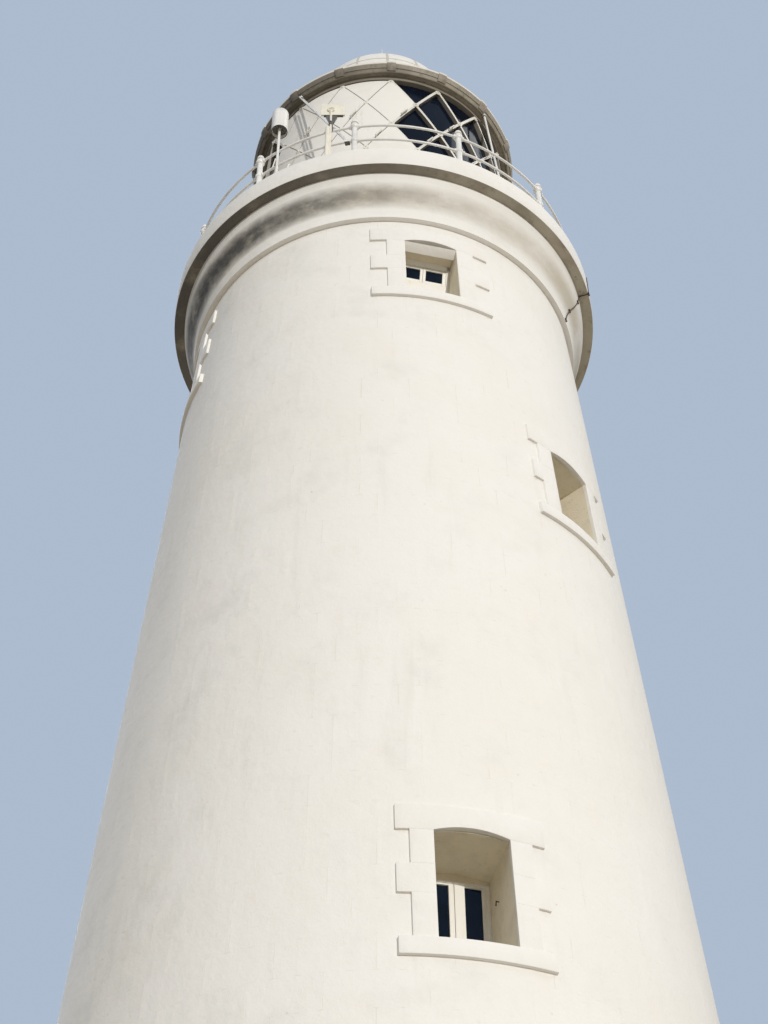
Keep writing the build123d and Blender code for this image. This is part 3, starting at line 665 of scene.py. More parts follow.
def gutter_paint():
    """Old stone-coloured paint on cast gutter lengths: nearly black towards the left, the side out of the key light,
    partly dirt and partly painted shade, and pale on top.
    """
    f = Finish("gutter_paint", (0.44, 0.395, 0.31), 0.6)
    f.stain(f.patches(0.5, 0.42, 0.62), (0.32, 0.285, 0.22))
    f.stain(f.patches(0.07, 0.50, 0.72), (0.22, 0.19, 0.145), 0.8)
    f.stain(f.patches(0.11, 0.62, 0.78), (0.62, 0.57, 0.47), 0.7)
    f.stain(f.chips(0.06, 0.17, f.patches(0.3, 0.5, 0.66)), (0.24, 0.12, 0.05), 0.8)
    f.stain(f.power(f.stain_and_shade_side(), 1.5), (0.035, 0.030, 0.023), 0.97)
    f.stain(f.band(EAVES_LEVEL + 0.012, 30.0, 0.02), (0.78, 0.74, 0.66))
    f.grain(0.012, 0.0005)
    return f.done()


def strap_paint():
    """The same paint on the covers over the gutter's joints."""
    f = Finish("strap_paint", (0.40, 0.35, 0.285), 0.6)
    f.stain(f.patches(0.09, 0.42, 0.68), (0.29, 0.245, 0.20))
    # Nearly black towards the left, as on the gutter: partly dirt, partly painted shade.
    f.stain(f.power(f.stain_and_shade_side(), 1.5), (0.045, 0.038, 0.030), 0.92)
    f.stain(f.chips(0.05, 0.2, f.patches(0.2, 0.5, 0.6)), (0.24, 0.12, 0.05), 0.8)
    f.stain(f.band(EAVES_LEVEL + 0.012, 30.0, 0.02), (0.74, 0.70, 0.62))
    f.grain(0.010, 0.0005)
    return f.done()


def roof_paint(name, color):
    """Painted sheet metal of the dome, with weather marks that run down it."""
    f = Finish(name, color, 0.45)
    f.stain(f.patches(0.8, 0.45, 0.68), toned(color, 0.92))
    f.stain(f.patches(0.12, 0.54, 0.78, 0.35), (0.55, 0.51, 0.43), 0.55)
    f.stain(f.chips(0.16, 0.08, f.patches(0.5, 0.5, 0.7)), (0.34, 0.24, 0.15), 0.7)
    f.waves(0.35, 0.004)
    f.grain(0.02, 0.0004)
    return f.done()


def glass(name, color):
    """Old plate glass over a dark room, with a film of salt."""
    f = Finish(name, color, 0.06)
    film = f.patches(0.45, 0.45, 0.8, 0.5)
    f.stain(film, tuple(min(1.0, 2.6 * c + 0.006) for c in color), 0.35)
    f.shader.inputs["IOR"].default_value = 1.45
    f.shader.inputs["Specular IOR Level"].default_value = 0.07
    f.roughness_from(film, 0.04, 0.16)
    f.waves(0.5, 0.0012)
    return f.done()


def window_paint():
    """Brushed white paint on window joinery."""
    f = Finish("window_paint", (0.93, 0.91, 0.855), 0.45)
    f.stain(f.patches(0.12, 0.50, 0.72, 0.25), (0.87, 0.84, 0.765))
    f.stain(f.patches(0.03, 0.60, 0.76), (0.52, 0.46, 0.37), 0.5)
    f.grain(0.006, 0.0004, 0.06)
    return f.done()


def door_paint():
    """Dark blue-grey paint, brushed downwards and splashed at the foot."""
    f = Finish("door_paint", (0.035, 0.055, 0.085), 0.4)
    f.stain(f.patches(0.25, 0.46, 0.70, 0.2), (0.05, 0.075, 0.11))
    f.stain(f.patches(0.05, 0.58, 0.74, 0.12), (0.13, 0.15, 0.17), 0.6)
    f.stain(f.band(0.0, 0.55, 0.35), (0.22, 0.20, 0.17), f.patches(0.06, 0.45, 0.7))
    f.grain(0.008, 0.0006, 0.05)
    return f.done()


def bare_iron():
    f = Finish("bare_iron", (0.10, 0.095, 0.09), 0.6, 0.6)
    f.stain(f.patches(0.05, 0.45, 0.65), (0.16, 0.085, 0.045))
    f.stain(f.patches(0.015, 0.5, 0.7), (0.05, 0.045, 0.04), 0.6)
    f.grain(0.006, 0.0006)
    return f.done()


def floor_finish(name, color):
    f = Finish(name, color, 0.75)
    f.stain(f.patches(0.5, 0.42, 0.66), toned(color, 0.72))
    f.stain(f.patches(0.09, 0.54, 0.74), toned(color, 0.45), 0.6)
    f.stain(f.chips(0.08, 0.14), toned(color, 0.5), 0.5)
    f.grain(0.02, 0.001)
    return f.done()


WALL = limewash("limewash")
CORNICE = limewash("cornice_limewash", cove=True)
JOINT = joint_paint()
SOFFIT = shaded_soffit()
REVEAL_TONE_AND_SHADE = reveal_plaster_and_shade()
LATTICE = iron_paint("lattice_paint", (0.82, 0.795, 0.72), 0.45)
# Painted shade: a dark copy of the lattice paint for the bars' sides and the lantern head.
LATTICE_SHADE = iron_paint("lattice_shade_paint", (0.27, 0.245, 0.205))
SHADED_IRON = iron_paint("shaded_iron_paint", (0.11, 0.10, 0.085), 0.4)
RAILING = iron_paint("railing_paint", (0.86, 0.85, 0.82), 0.55, 0.38)
LOW_WALL = iron_paint("low_wall_paint", (0.80, 0.77, 0.70), 0.6, 0.46)
FITTING = iron_paint("fitting_paint", (0.85, 0.84, 0.81), 0.35, 0.36)
CREAM_FITTING = iron_paint("cream_fitting_paint", (0.88, 0.84, 0.72), 0.35, 0.45)
BLANK = blank_panel()
GUTTER = gutter_paint()
STRAP = strap_paint()
ROOF = roof_paint("roof_paint", (0.87, 0.845, 0.785))
ROOF_SEAM = roof_paint("roof_seam_paint", (0.60, 0.56, 0.485))
WINDOW_GLASS = glass("window_glass", (0.006, 0.011, 0.022))
LANTERN_GLASS = glass("lantern_glass", (0.003, 0.006, 0.014))
JOINERY = window_paint()
DOOR = door_paint()
IRON = bare_iron()
FLOOR_STONE = floor_finish("floor_stone", (0.26, 0.24, 0.21))
DECK = floor_finish("deck_iron", (0.06, 0.06, 0.063))


# Facing stones on the shaft

def course_ring(low, high, radius_low, radius_high, joints, relief):
    """One course of facing: a ring of small faces, split at its upright joints and raised between them."""
    bpy.ops.mesh.primitive_cone_add(vertices=COURSE_FACES, radius1=radius_low, radius2=radius_high,
                                    depth=high - low, end_fill_type="NOTHING", location=(0, 0, (low + high) / 2))
    course = settle(named("course"))

    def step_of(point):
        return round(math.degrees(math.atan2(point.y, point.x)) / (360.0 / COURSE_FACES)) % COURSE_FACES

    edit_edges(course, lambda a, b: abs(a.z - b.z) > 0.1 and step_of(a) in joints)
    bpy.ops.mesh.edge_split(type="EDGE")
    bpy.ops.mesh.select_mode(type="FACE")
    bpy.ops.mesh.select_all(action="SELECT")
    bpy.ops.mesh.inset(thickness=0.0045, depth=relief, use_boundary=True, use_even_offset=True)
    bpy.ops.mesh.select_all(action="INVERT")
    leave_edit()
    course.data.materials.append(WALL)
    course.data.materials.append(JOINT)
    second_finish(course, lambda face: face.select)
    return course


def joint_steps(course, widths):
    """Where the upright joints of a course fall, in broken bond and of slightly uneven lengths."""
    steps = set()
    first = step = (course % 2) * 2
    while step < first + COURSE_FACES - 2:
        steps.add(step % COURSE_FACES)
        step += choice.choice(widths)
    return steps


def stone_skin(name, courses):
    """Courses merged to one skin with a thickness inwards."""
    facing = joined(name, courses)
    mend_skin(facing, 0.0002)
    apply_modifier(facing, "SOLIDIFY", thickness=0.02, offset=-1.0)
    return facing


def stone_cutters(azimuth, *stones):
    """Boxes that leave room for raised stones, each given by its half width and two levels."""
    g = STONE_GAP
    return [turned(block("cutter", (-half - g, -6.0, low - g), (half + g, -1.5, high + g)), azimuth)
            for half, low, high in stones]


def window_cutters(sill, azimuth):
    long_half, short_half = SERVICE_HALVES if (sill, azimuth) in SERVICE_WINDOWS else STAIR_HALVES
    low, springing = sill - SILL_HEIGHT, sill + WINDOW_HEIGHT
    top = springing + LINTEL_HEIGHT
    first, second = (sill + step for step in SURROUND_STEPS)
    return stone_cutters(azimuth, (short_half, low, top), (long_half, low, sill), (long_half, first, second),
                         (long_half, springing, top))


def doorway_cutters():
    long_half, short_half = STAIR_HALVES
    first, second = (PLINTH_TOP + step for step in SURROUND_STEPS)
    top = DOOR_SPRINGING + LINTEL_HEIGHT
    return stone_cutters(0, (short_half, 0.5, top), (long_half, first, second), (long_half, DOOR_SPRINGING, top))


def facing_stones():
    """Seven bands of eight courses between the plinth and the neck of the cornice."""
    step = (SHAFT_TOP - PLINTH_TOP) / COURSES
    in_band = COURSES // BANDS
    for band in range(BANDS):
        courses = []
        for course in range(band * in_band, (band + 1) * in_band):
            low = PLINTH_TOP + course * step
            high = low + step
            courses.append(course_ring(low, high, wall_radius(low) - FACING_SETBACK, wall_radius(high) - FACING_SETBACK,
                                       joint_steps(course, (3, 4, 4, 4, 5)), FACING_RELIEF))
        facing = stone_skin(f"facing_stones_{band + 1}", courses)
        bottom = PLINTH_TOP + band * in_band * step
        cutters = doorway_cutters() if band == 0 else []
        for sill, azimuth in WINDOWS:
            if sill - SILL_HEIGHT < bottom + in_band * step and sill + WINDOW_HEIGHT + LINTEL_HEIGHT > bottom:
                cutters += window_cutters(sill, azimuth)
        cut_away(facing, *cutters)
        finish_piece(facing, "painted_stone", WALL, JOINT, shade=10)


def plinth_stones():
    """The base course, with its own facing and the same outer size as the construction."""
    core = node_copy("plinth_core", "plinth_a", "plinth_b")
    radius = PLINTH_RADIUS - 0.008
    core.data.transform(Matrix.Diagonal((radius / PLINTH_RADIUS, radius / PLINTH_RADIUS, 1, 1)))
    courses = [course_ring(low, high, radius, radius, joint_steps(course, (4, 5, 5, 6)), PLINTH_RELIEF)
               for course, (low, high) in enumerate(((0.004, 0.445), (0.445, PLINTH_SHOULDER)))]
    facing = stone_skin("plinth_facing", courses)
    cut_away(facing, block("cutter", (-DOOR_HALF, -6, -1), (DOOR_HALF, -1.5, 2)))
    finish_piece(joined("plinth_stones", [facing, core]), "painted_stone", WALL, JOINT, shade=10,
                 replaces=("plinth_a", "plinth_b"))


# Raised stones round the openings

def groove_rings(levels):
    """Diamond-section rings that cut V joints at given levels of the cone."""
    return joined("grooves", [ring("groove", wall_radius(z) + SURROUND_PROJECTION, GROOVE_DEPTH, 192, 4, (0, 0, z))
                              for z in levels])


def surround_stones():
    window_joints = sorted({sill + step for sill, azimuth in WINDOWS for step in SURROUND_STEPS})
    door_joints = [PLINTH_TOP + step for step in SURROUND_STEPS]
    for name, node, joints in (("quoin_stones", "window_quoins", window_joints),
                               ("door_quoin_stones", "door_quoins", door_joints)):
        quoins = node_copy(name, node)
        round_arrises(quoins, STONE_EASE)
        cut_away(quoins, groove_rings(joints))
        finish_piece(quoins, "painted_stone", WALL, replaces=(node,))
    dress_node("lintel_stones", "window_lintels", "painted_stone", WALL, STONE_EASE)
    dress_node("sill_stones", "window_sills", "painted_stone", WALL, 0.006)
    dress_node("door_lintel_stone", "door_lintel", "painted_stone", WALL, STONE_EASE)


# Windows, made at the front with the sill at z = 0 and the frame's middle on y = 0

def timber(low, high, outer=-TIMBER_HALF, inner=TIMBER_HALF):
    """One piece of joinery between two corners given as (x, z)."""
    return round_arrises(block("timber", (low[0], outer, low[1]), (high[0], inner, high[1])), 0.003)


def casement(low, high, rail, left_stile, right_stile, top_rail=None):
    """A sash: two stiles, two rails, and a pane that sits back in them."""
    (x0, z0), (x1, z1) = low, high
    left, right = x0 + left_stile, x1 - right_stile
    bottom, top = z0 + rail, z1 - (top_rail or rail)
    inner, lap, rebate = 0.022, 0.001, 0.008
    parts = [timber((x0, z0), (left, z1), -0.026, inner), timber((right, z0), (x1, z1), -0.026, inner),
             timber((left - lap, z0), (right + lap, bottom), -0.024, inner),
             timber((left - lap, top), (right + lap, z1), -0.024, inner)]
    pane = block("pane", (left - rebate, -0.003, bottom - rebate), (right + rebate, 0.003, top + rebate))
    return parts, pane


def stair_window():
    """Two casements of uneven width, the right one lapped over the left."""
    boards = [timber((-REVEAL_HALF, 0.002), (-0.335, 1.20)), timber((0.345, 0.002), (REVEAL_HALF, 1.20)),
              timber((-REVEAL_HALF, 0.002), (REVEAL_HALF, 0.050), -0.045),
              timber((-REVEAL_HALF, 1.172), (REVEAL_HALF, 1.190), -0.038)]
    left, left_pane = casement((-0.336, 0.048), (0.011, 1.174), 0.052, 0.050, 0.052, 0.022)
    right, right_pane = casement((0.017, 0.048), (0.346, 1.174), 0.052, 0.104, 0.048, 0.022)
    return boards + left + right, [left_pane, right_pane]


def service_window():
    """Small top-hung lights over a deep transom, in a frame that leans inwards."""
    tall = WINDOW_HEIGHT / math.cos(SERVICE_LEAN)
    boards = [timber((-REVEAL_HALF, 0.002), (-0.330, tall)), timber((0.318, 0.002), (REVEAL_HALF, tall)),
              timber((-REVEAL_HALF, -0.005), (REVEAL_HALF, 0.060)),
              timber((-REVEAL_HALF, 1.212), (REVEAL_HALF, tall + 0.05)),
              timber((-0.331, 0.610), (0.319, 0.935), -0.032)]
    panes = []
    for low, high in ((0.940, 1.206), (0.064, 0.606)):
        for x0, x1, left_stile, right_stile in ((-0.328, -0.026, 0.028, 0.038), (-0.022, 0.316, 0.042, 0.050)):
            sash, pane = casement((x0, low), (x1, high), 0.040, left_stile, right_stile)
            boards += sash
            panes.append(pane)
    return boards, panes


def stair_frame_face(sill):
    """Where the middle of a stair window's frame lies, at the front."""
    return STAIR_RECESS - wall_radius(sill + WINDOW_HEIGHT / 2)


def window_joinery():
    """Every frame and pane, set back in its opening as the construction has it."""
    timbers, panes = [], []
    for sill, azimuth in WINDOWS:
        if (sill, azimuth) in SERVICE_WINDOWS:
            wood, glazing = service_window()
            lean = Matrix.Rotation(SERVICE_LEAN, 4, "X")
            face = SERVICE_HEAD_RECESS + WINDOW_HEIGHT * math.tan(SERVICE_LEAN) - wall_radius(sill + WINDOW_HEIGHT)
        else:
            wood, glazing = stair_window()
            lean = Matrix.Identity(4)
            face = stair_frame_face(sill)
        for kept, parts in ((timbers, wood), (panes, glazing)):
            piece = joined("window_part", parts)
            piece.data.transform(Matrix.Translation((0, face, sill)) @ lean)
            kept.append(turned(piece, azimuth))
    finish_piece(joined("window_joinery", timbers), "window_paint", JOINERY, replaces=("window_frames",))
    finish_piece(joined("window_panes", panes), "window_glass", WINDOW_GLASS, shade=None, replaces=("window_glass",))


def head_linings():
    """The head of each service window: a splayed stone edge outside, and a board from there to the frame."""
    linings, splays = [], []
    for sill, azimuth in SERVICE_WINDOWS:
        high = sill + WINDOW_HEIGHT
        face = -wall_radius(high)
        board = block("lining", (-0.375, face + 0.155, high - 0.012), (0.375, face + 0.315, high + 0.001))
        edit_faces(board, lambda side: side.normal.z < -0.9)
        bpy.ops.mesh.inset(thickness=0.02, depth=-0.003)
        leave_edit()
        linings.append(turned(round_arrises(board, 0.002), azimuth))
        splay = block("splay", (-0.379, face + 0.004, high - 0.088), (0.379, face + 0.117, high + 0.001))
        edit_edges(splay, lambda a, b: max(a.z, b.z) < high - 0.05 and max(a.y, b.y) < face + 0.01)
        bpy.ops.transform.translate(value=(0, 0, 0.085))
        leave_edit()
        splays.append(turned(round_arrises(splay, 0.002, 20), azimuth))
    finish_piece(joined("head_linings", linings), "window_paint", REVEAL_TONE_AND_SHADE)
    finish_piece(joined("head_splays", splays), "painted_stone", WALL, shade=20)


def arch_rise(x, rise):
    """How far a flat arch rises over its springing, across a reveal."""
    return rise * (1 - (x / REVEAL_HALF) ** 2)


def head_infills():
    """Plaster between the straight head of each stair window's frame and the arch over it, darker as painted shade
    where the arch's shadow falls.
    """
    infills = []
    for sill, azimuth in STAIR_WINDOWS:
        piece = block("infill", (-REVEAL_HALF, -TIMBER_HALF, 1.188), (REVEAL_HALF, TIMBER_HALF, WINDOW_HEIGHT))
        slice_in_strips(piece, REVEAL_HALF, 12)
        for point in piece.data.vertices:
            if point.co.z > WINDOW_HEIGHT - 0.001:
                point.co.z += arch_rise(point.co.x, 0.052)
        round_arrises(piece, 0.003)
        piece.data.transform(Matrix.Translation((0, stair_frame_face(sill), sill)))
        infills.append(turned(piece, azimuth))
    finish_piece(joined("head_infills", infills), "painted_stone", REVEAL_TONE_AND_SHADE)


def plaster_sides():
    """A skin of plaster on each side of a reveal, to be fitted to its wall."""
    return [block("skin", (x, -1.0, SKIN), (x + SKIN, 0.0, WINDOW_HEIGHT - SKIN)) for x in (-0.3795, 0.3775)]


def reveal_linings():
    """A skin of plaster on the two sides of each reveal, and on the soffit of the stair windows."""
    skins = []
    for sill, azimuth in STAIR_WINDOWS:
        inner = stair_frame_face(sill) - TIMBER_HALF
        soffit = block("skin", (-REVEAL_HALF, -1.0, WINDOW_HEIGHT - 0.004), (REVEAL_HALF, 0.0, WINDOW_HEIGHT - 0.001))
        slice_in_strips(soffit, REVEAL_HALF, 14)
        for piece in (soffit, *plaster_sides()):
            for point in piece.data.vertices:
                outer = 0.035 - wall_radius(sill + point.co.z)
                if piece is soffit:
                    point.co.z += arch_rise(point.co.x, 0.0505)
                point.co.y = outer if point.co.y < -0.5 else inner
                point.co.z += sill
            skins.append(turned(piece, azimuth))
    for sill, azimuth in SERVICE_WINDOWS:
        for piece in plaster_sides():
            for point in piece.data.vertices:
                if point.co.y < -0.5:
                    point.co.y = 0.003 - wall_radius(sill + point.co.z)
                else:
                    lean = (WINDOW_HEIGHT - point.co.z) * math.tan(SERVICE_LEAN)
                    point.co.y = 0.32 + lean - wall_radius(sill + WINDOW_HEIGHT)
                point.co.z += sill
            skins.append(turned(piece, azimuth))
    finish_piece(joined("reveal_linings", skins), "painted_stone", REVEAL_TONE_AND_SHADE)


def window_hook():
    """A small iron hook in the reveal of the front stair window."""
    wall = Vector((0.40, -3.057, 11.01))
    bend = Vector((0.348, -3.061, 11.014))
    tip = Vector((0.353, -3.033, 10.989))
    parts = [bar("hook", wall, bend, 0.006, 10), bar("hook", bend + Vector((0, 0, 0.001)), tip, 0.006, 10),
             ball("hook", bend, 0.0075, 10), ball("hook", tip, 0.008, 10)]
    finish_piece(joined("reveal_hook", parts), "fitting_grey", IRON, shade=40)


# Doorway

def plank_door():
    """The leaf with V joints between its boards, its strap hinges and ring handle, and its casing."""
    leaf = node_copy("plank_door", "entrance_door")
    low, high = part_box("entrance_door")
    round_arrises(leaf, 0.004)
    boards = 6
    cutters = []
    for k in range(1, boards):
        bpy.ops.mesh.primitive_cube_add(size=0.014, location=(low.x + (high.x - low.x) * k / boards, low.y, 1.3),
                                        rotation=(0, 0, math.radians(45)), scale=(1, 1, 220))
        cutters.append(settle(named("groove")))
    cut_away(leaf, joined("grooves", cutters))
    finish_piece(leaf, "door_paint", DOOR, replaces=("entrance_door",))
    iron = []
    face = low.y
    for z in (0.55, 1.85):
        strap = block("hinge", (low.x + 0.01, face - 0.008, z - 0.03), (high.x - 0.14, face + 0.002, z + 0.03))
        edit_faces(strap, lambda side: side.normal.x > 0.9)
        bpy.ops.transform.resize(value=(1, 1, 0.45))
        leave_edit()
        iron.append(round_arrises(strap, 0.003))
        iron += [ball("nail", (low.x + 0.07 + k * 0.12, face - 0.008, z), 0.011, 10) for k in range(5)]
        iron.append(bar("knuckle", (low.x + 0.004, face - 0.012, z - 0.05), (low.x + 0.004, face - 0.012, z + 0.05),
                        0.014, 14, 0.003))
    lock = high.x - 0.09
    iron.append(ring("handle", 0.048, 0.008, 28, 10, (lock, face - 0.016, 1.16), (math.radians(82), 0, 0)))
    iron.append(ball("boss", (lock, face - 0.012, 1.208), 0.020, 14))
    iron.append(round_arrises(block("lock_plate", (lock - 0.04, face - 0.005, 0.98), (lock + 0.04, face + 0.002, 1.08)),
                              0.003))
    finish_piece(joined("door_ironwork", iron), "fitting_grey", IRON, shade=40)
    dress_node("door_casing", "door_frame", "window_paint", JOINERY, 0.006)


# Cornice and gallery

def without_radial_faces(piece):
    """Makes one ring of a set of sectors: the faces between them go, and the skin is merged."""
    edit_faces(piece, lambda face: abs(face.normal.z) < 0.02 and abs(face.normal.dot(outward(face.center))) < 0.05)
    bpy.ops.mesh.delete(type="FACE")
    leave_edit()
    mend_skin(piece, 0.0005)


def gallery_edge():
    """The slab and the cornice, each one ring of stone with eased arrises."""
    slab = node_copy("gallery_stones", "gallery_slab_a", "gallery_slab_b")
    without_radial_faces(slab)
    round_arrises(slab, 0.012, 50)
    # Down-facing faces take the soffit paint: partly dirt, partly painted shade.
    second_finish(slab, lambda face: face.normal.z < -0.9)
    finish_piece(slab, "painted_stone", WALL, SOFFIT, replaces=("gallery_slab_a", "gallery_slab_b"))
    cornice = node_copy("cornice_stones", "cornice_a", "cornice_b")
    without_radial_faces(cornice)
    finish_piece(cornice, "painted_stone", CORNICE, replaces=("cornice_a", "cornice_b"))


def railing():
    """Posts with ball sockets, two round rails through them, and the bolts of their feet."""
    def upright(low, high, radius, ease):
        return bar("post", (0, -RAIL_RADIUS, low), (0, -RAIL_RADIUS, high), radius, 24, ease)

    parts = [upright(KERB_LEVEL + 0.02, 24.99, 0.044, 0.004), upright(KERB_LEVEL, KERB_LEVEL + 0.025, 0.075, 0.004),
             upright(KERB_LEVEL + 0.022, KERB_LEVEL + 0.06, 0.056, 0.012), upright(24.955, 24.985, 0.060, 0.008),
             ball("post", (0, -RAIL_RADIUS, 24.994), 0.055, 24)]
    for level, knob, sleeve in ((TOP_RAIL_LEVEL, 0.072, 0.035), (LOWER_RAIL_LEVEL, 0.064, 0.031)):
        parts.append(ball("post", (0, -RAIL_RADIUS, level), knob, 24))
        parts.append(bar("post", (-0.088, -RAIL_RADIUS, level), (0.088, -RAIL_RADIUS, level), sleeve, 20, 0.006))
    posts = all_round("railing_posts", joined("post", parts), FIRST_POST, POST_COUNT)
    finish_piece(posts, "painted_iron", RAILING, shade=50, replaces=("rail_posts",))
    for name, node, level in (("top_rail", "top_rails", TOP_RAIL_LEVEL), ("lower_rail", "lower_rails", LOWER_RAIL_LEVEL)):
        rail = ring(name, RAIL_RADIUS, 0.0205, 156, 14, (0, 0, level))
        finish_piece(rail, "painted_iron", RAILING, shade=60, replaces=(node,))
    bolts = []
    for around in (45, 135, 225, 315):
        centre = Vector((0, -RAIL_RADIUS, KERB_LEVEL + 0.028)) + at(around, 0.055, 0)
        bpy.ops.mesh.primitive_cylinder_add(vertices=6, radius=0.011, depth=0.014, location=centre)
        bolts.append(settle(named("bolt")))
    bolts = all_round("post_bolts", joined("bolts", bolts), FIRST_POST, POST_COUNT)
    finish_piece(bolts, "painted_iron", RAILING, shade=30)


# Lantern

def lattice_spot(step, row):
    return at(LATTICE_START + step * HALF_STEP, GLAZING_RADIUS, GLAZING_BOTTOM + row * LATTICE_ROW)


def every_other(rows, shift=0):
    """The steps and rows at which the bars cross, or with a shift of 1 those at the cells' middles."""
    return [(step, row) for row in range(rows) for step in range((row + shift) % 2, 32, 2)]


def is_blank(azimuth, z):
    """Whether a spot on the glazing lies in a cell that is closed with a blank sheet."""
    across = (azimuth - LATTICE_START) / HALF_STEP
    up = (z - GLAZING_BOTTOM) / LATTICE_ROW
    step = math.floor((across + up) / 2) + math.floor((across - up) / 2) + 1
    middle = (LATTICE_START + step * HALF_STEP + 180) % 360 - 180
    return BLANK_CELLS[0] < middle < BLANK_CELLS[1]


def lattice_bars():
    """The lattice, with its sides and what runs under blank sheets darker than its outer faces, as painted shade."""
    def is_dark(face):
        azimuth = math.degrees(math.atan2(face.center.x, -face.center.y))
        covered = is_blank(azimuth - 2, face.center.z) and is_blank(azimuth + 2, face.center.z)
        return covered or face.normal.dot(outward(face.center)) <= 0.8

    bars = node_copy("lattice_bars", "glazing_bars_a", "glazing_bars_b")
    second_finish(bars, is_dark)
    finish_piece(bars, "painted_iron", LATTICE, LATTICE_SHADE, replaces=("glazing_bars_a", "glazing_bars_b"))


def blank_sheets():
    """White sheets over the blank cells, laid on the bars, with open seams along the bars' middles."""
    reach = 0.977
    sheets = []
    for step, row in every_other(LATTICE_ROWS + 1, 1):
        azimuth = LATTICE_START + step * HALF_STEP
        if not is_blank(azimuth, GLAZING_BOTTOM + row * LATTICE_ROW):
            continue
        bpy.ops.mesh.primitive_grid_add(x_subdivisions=8, y_subdivisions=8, size=2, location=ORIGIN)
        sheet = named("sheet")
        for point in sheet.data.vertices:
            across, up = (point.co.x + point.co.y) / 2, (point.co.y - point.co.x) / 2
            point.co = at(azimuth + across * HALF_STEP * reach, GLAZING_RADIUS + 0.004,
                          GLAZING_BOTTOM + (row + up * reach) * LATTICE_ROW)
        sheets.append(sheet)
    piece = joined("blank_sheets", sheets)
    keep_between(piece, GLAZING_BOTTOM + 0.03, GLAZING_BOTTOM + LATTICE_ROWS * LATTICE_ROW - 0.03)
    apply_modifier(piece, "SOLIDIFY", thickness=0.004, offset=0.0)
    mend_skin(piece)
    round_arrises(piece, 0.001, 60, 1)
    finish_piece(piece, "blank_panel", BLANK, shade=40)


def lattice_bosses():
    """A round cover plate with a domed nut on every crossing of the bars."""
    lifts = {0: 0.05, LATTICE_ROWS: -0.05}
    plates = []
    for step, row in every_other(LATTICE_ROWS + 1):
        centre = lattice_spot(step, row) + Vector((0, 0, lifts.get(row, 0.0)))
        out = outward(centre)
        bpy.ops.mesh.primitive_cylinder_add(vertices=14, radius=0.052, depth=0.014, location=centre + out * 0.002,
                                            rotation=out.to_track_quat("Z", "Y").to_euler())
        plate = settle(named("plate"))
        edit_faces(plate, lambda face: face.normal.dot(out) > 0.9)
        bpy.ops.mesh.inset(thickness=0.012, depth=0.004)
        bpy.ops.mesh.inset(thickness=0.020, depth=0.0)
        bpy.ops.mesh.extrude_region_move(TRANSFORM_OT_translate={"value": out * 0.014})
        bpy.ops.transform.resize(value=(0.7, 0.7, 0.7))
        leave_edit()
        plates.append(plate)
    finish_piece(joined("lattice_bosses", plates), "painted_iron", LATTICE, shade=45)


def hand_grips():
    """Short grab bars that stand off the bars rising to the right, on the lower three rows."""
    half_length, stand_off = 0.085, 0.06
    grips = []
    for step, row in every_other(LATTICE_ROWS - 1):
        start, end = lattice_spot(step, row), lattice_spot(step + 1, row + 1)
        along = (end - start).normalized()
        middle = (start + end) / 2
        out = outward(middle)
        middle += out * (GLAZING_RADIUS - middle.xy.length - 0.01)
        foot_a, foot_b = middle + along * half_length, middle - along * half_length
        top_a, top_b = foot_a + out * stand_off, foot_b + out * stand_off
        grips += [bar("grip", foot_a, top_a, 0.010, 8), bar("grip", foot_b, top_b, 0.010, 8),
                  bar("grip", top_a + along * 0.015, top_b - along * 0.015, 0.013, 8)]
    finish_piece(joined("hand_grips", grips), "painted_iron", LATTICE, shade=40)


def low_wall_straps():
    """Cover straps with rivets on the sheets of the low wall."""
    parts = [round_arrises(block("strap", (-0.04, -2.207, 23.752), (0.04, -2.195, 25.115)), 0.003)]
    parts += [ball("rivet", (x, -2.206, 23.84 + k * 0.148), 0.008, 8) for k in range(9) for x in (-0.022, 0.022)]
    straps = all_round("low_wall_straps", joined("strap", parts), LATTICE_START, 16)
    finish_piece(straps, "painted_iron", LOW_WALL, shade=40)


# Gutter and roof

def bow(piece):
    """Bows the straight sides of the gutter out towards the circle through its corners."""
    share = 0.8
    half = math.radians(GUTTER_SIDE / 2)
    for point in piece.data.vertices:
        azimuth = math.degrees(math.atan2(point.co.x, -point.co.y)) - LATTICE_START
        off_middle = math.radians(azimuth % GUTTER_SIDE) - half
        grow = 1 + share * (math.cos(off_middle) / math.cos(half) - 1)
        point.co.x *= grow
        point.co.y *= grow


def gutter_lengths():
    """Cast lengths that bow a little between the covers over their joints."""
    lengths = node_copy("gutter_lengths", "gutter_a", "gutter_b")
    turns = [math.radians(LATTICE_START + GUTTER_SIDE * (k + 0.5) + off_middle)
             for k in range(8) for off_middle in (-7.5, -3.75, 0.0, 3.75, 7.5)]
    slice_all(lengths, [(ORIGIN, (math.cos(turn), math.sin(turn), 0)) for turn in turns])
    bow(lengths)
    finish_piece(lengths, "gutter_paint", GUTTER, shade=50, replaces=("gutter_a", "gutter_b"))
    straps = node_copy("joint_straps", "gutter_straps")
    bow(straps)
    round_arrises(straps, 0.003, 50)
    finish_piece(straps, "gutter_paint", STRAP, shade=40, replaces=("gutter_straps",))


def roof_seams():
    """Upright seams and level laps of the dome, cut out of copies of its shell and lifted a little."""
    half = math.radians(0.75)
    rib = node_copy("roof_rib", "roof_dome")
    slice_all(rib, [(ORIGIN, (math.cos(turn), math.sin(turn), 0)) for turn in (-half, math.pi + half)],
              use_fill=True, clear_outer=True)
    fatten(rib, 0.007)
    finish_piece(all_round("roof_seams", rib, LATTICE_START, 16), "roof_paint", ROOF_SEAM, shade=40)
    laps = []
    for low in (28.62, 29.30, 30.02, 30.72):
        lap = node_copy("roof_lap", "roof_dome")
        keep_between(lap, low, low + 0.05)
        fatten(lap, 0.005)
        laps.append(lap)
    finish_piece(joined("roof_laps", laps), "roof_paint", ROOF, shade=40)


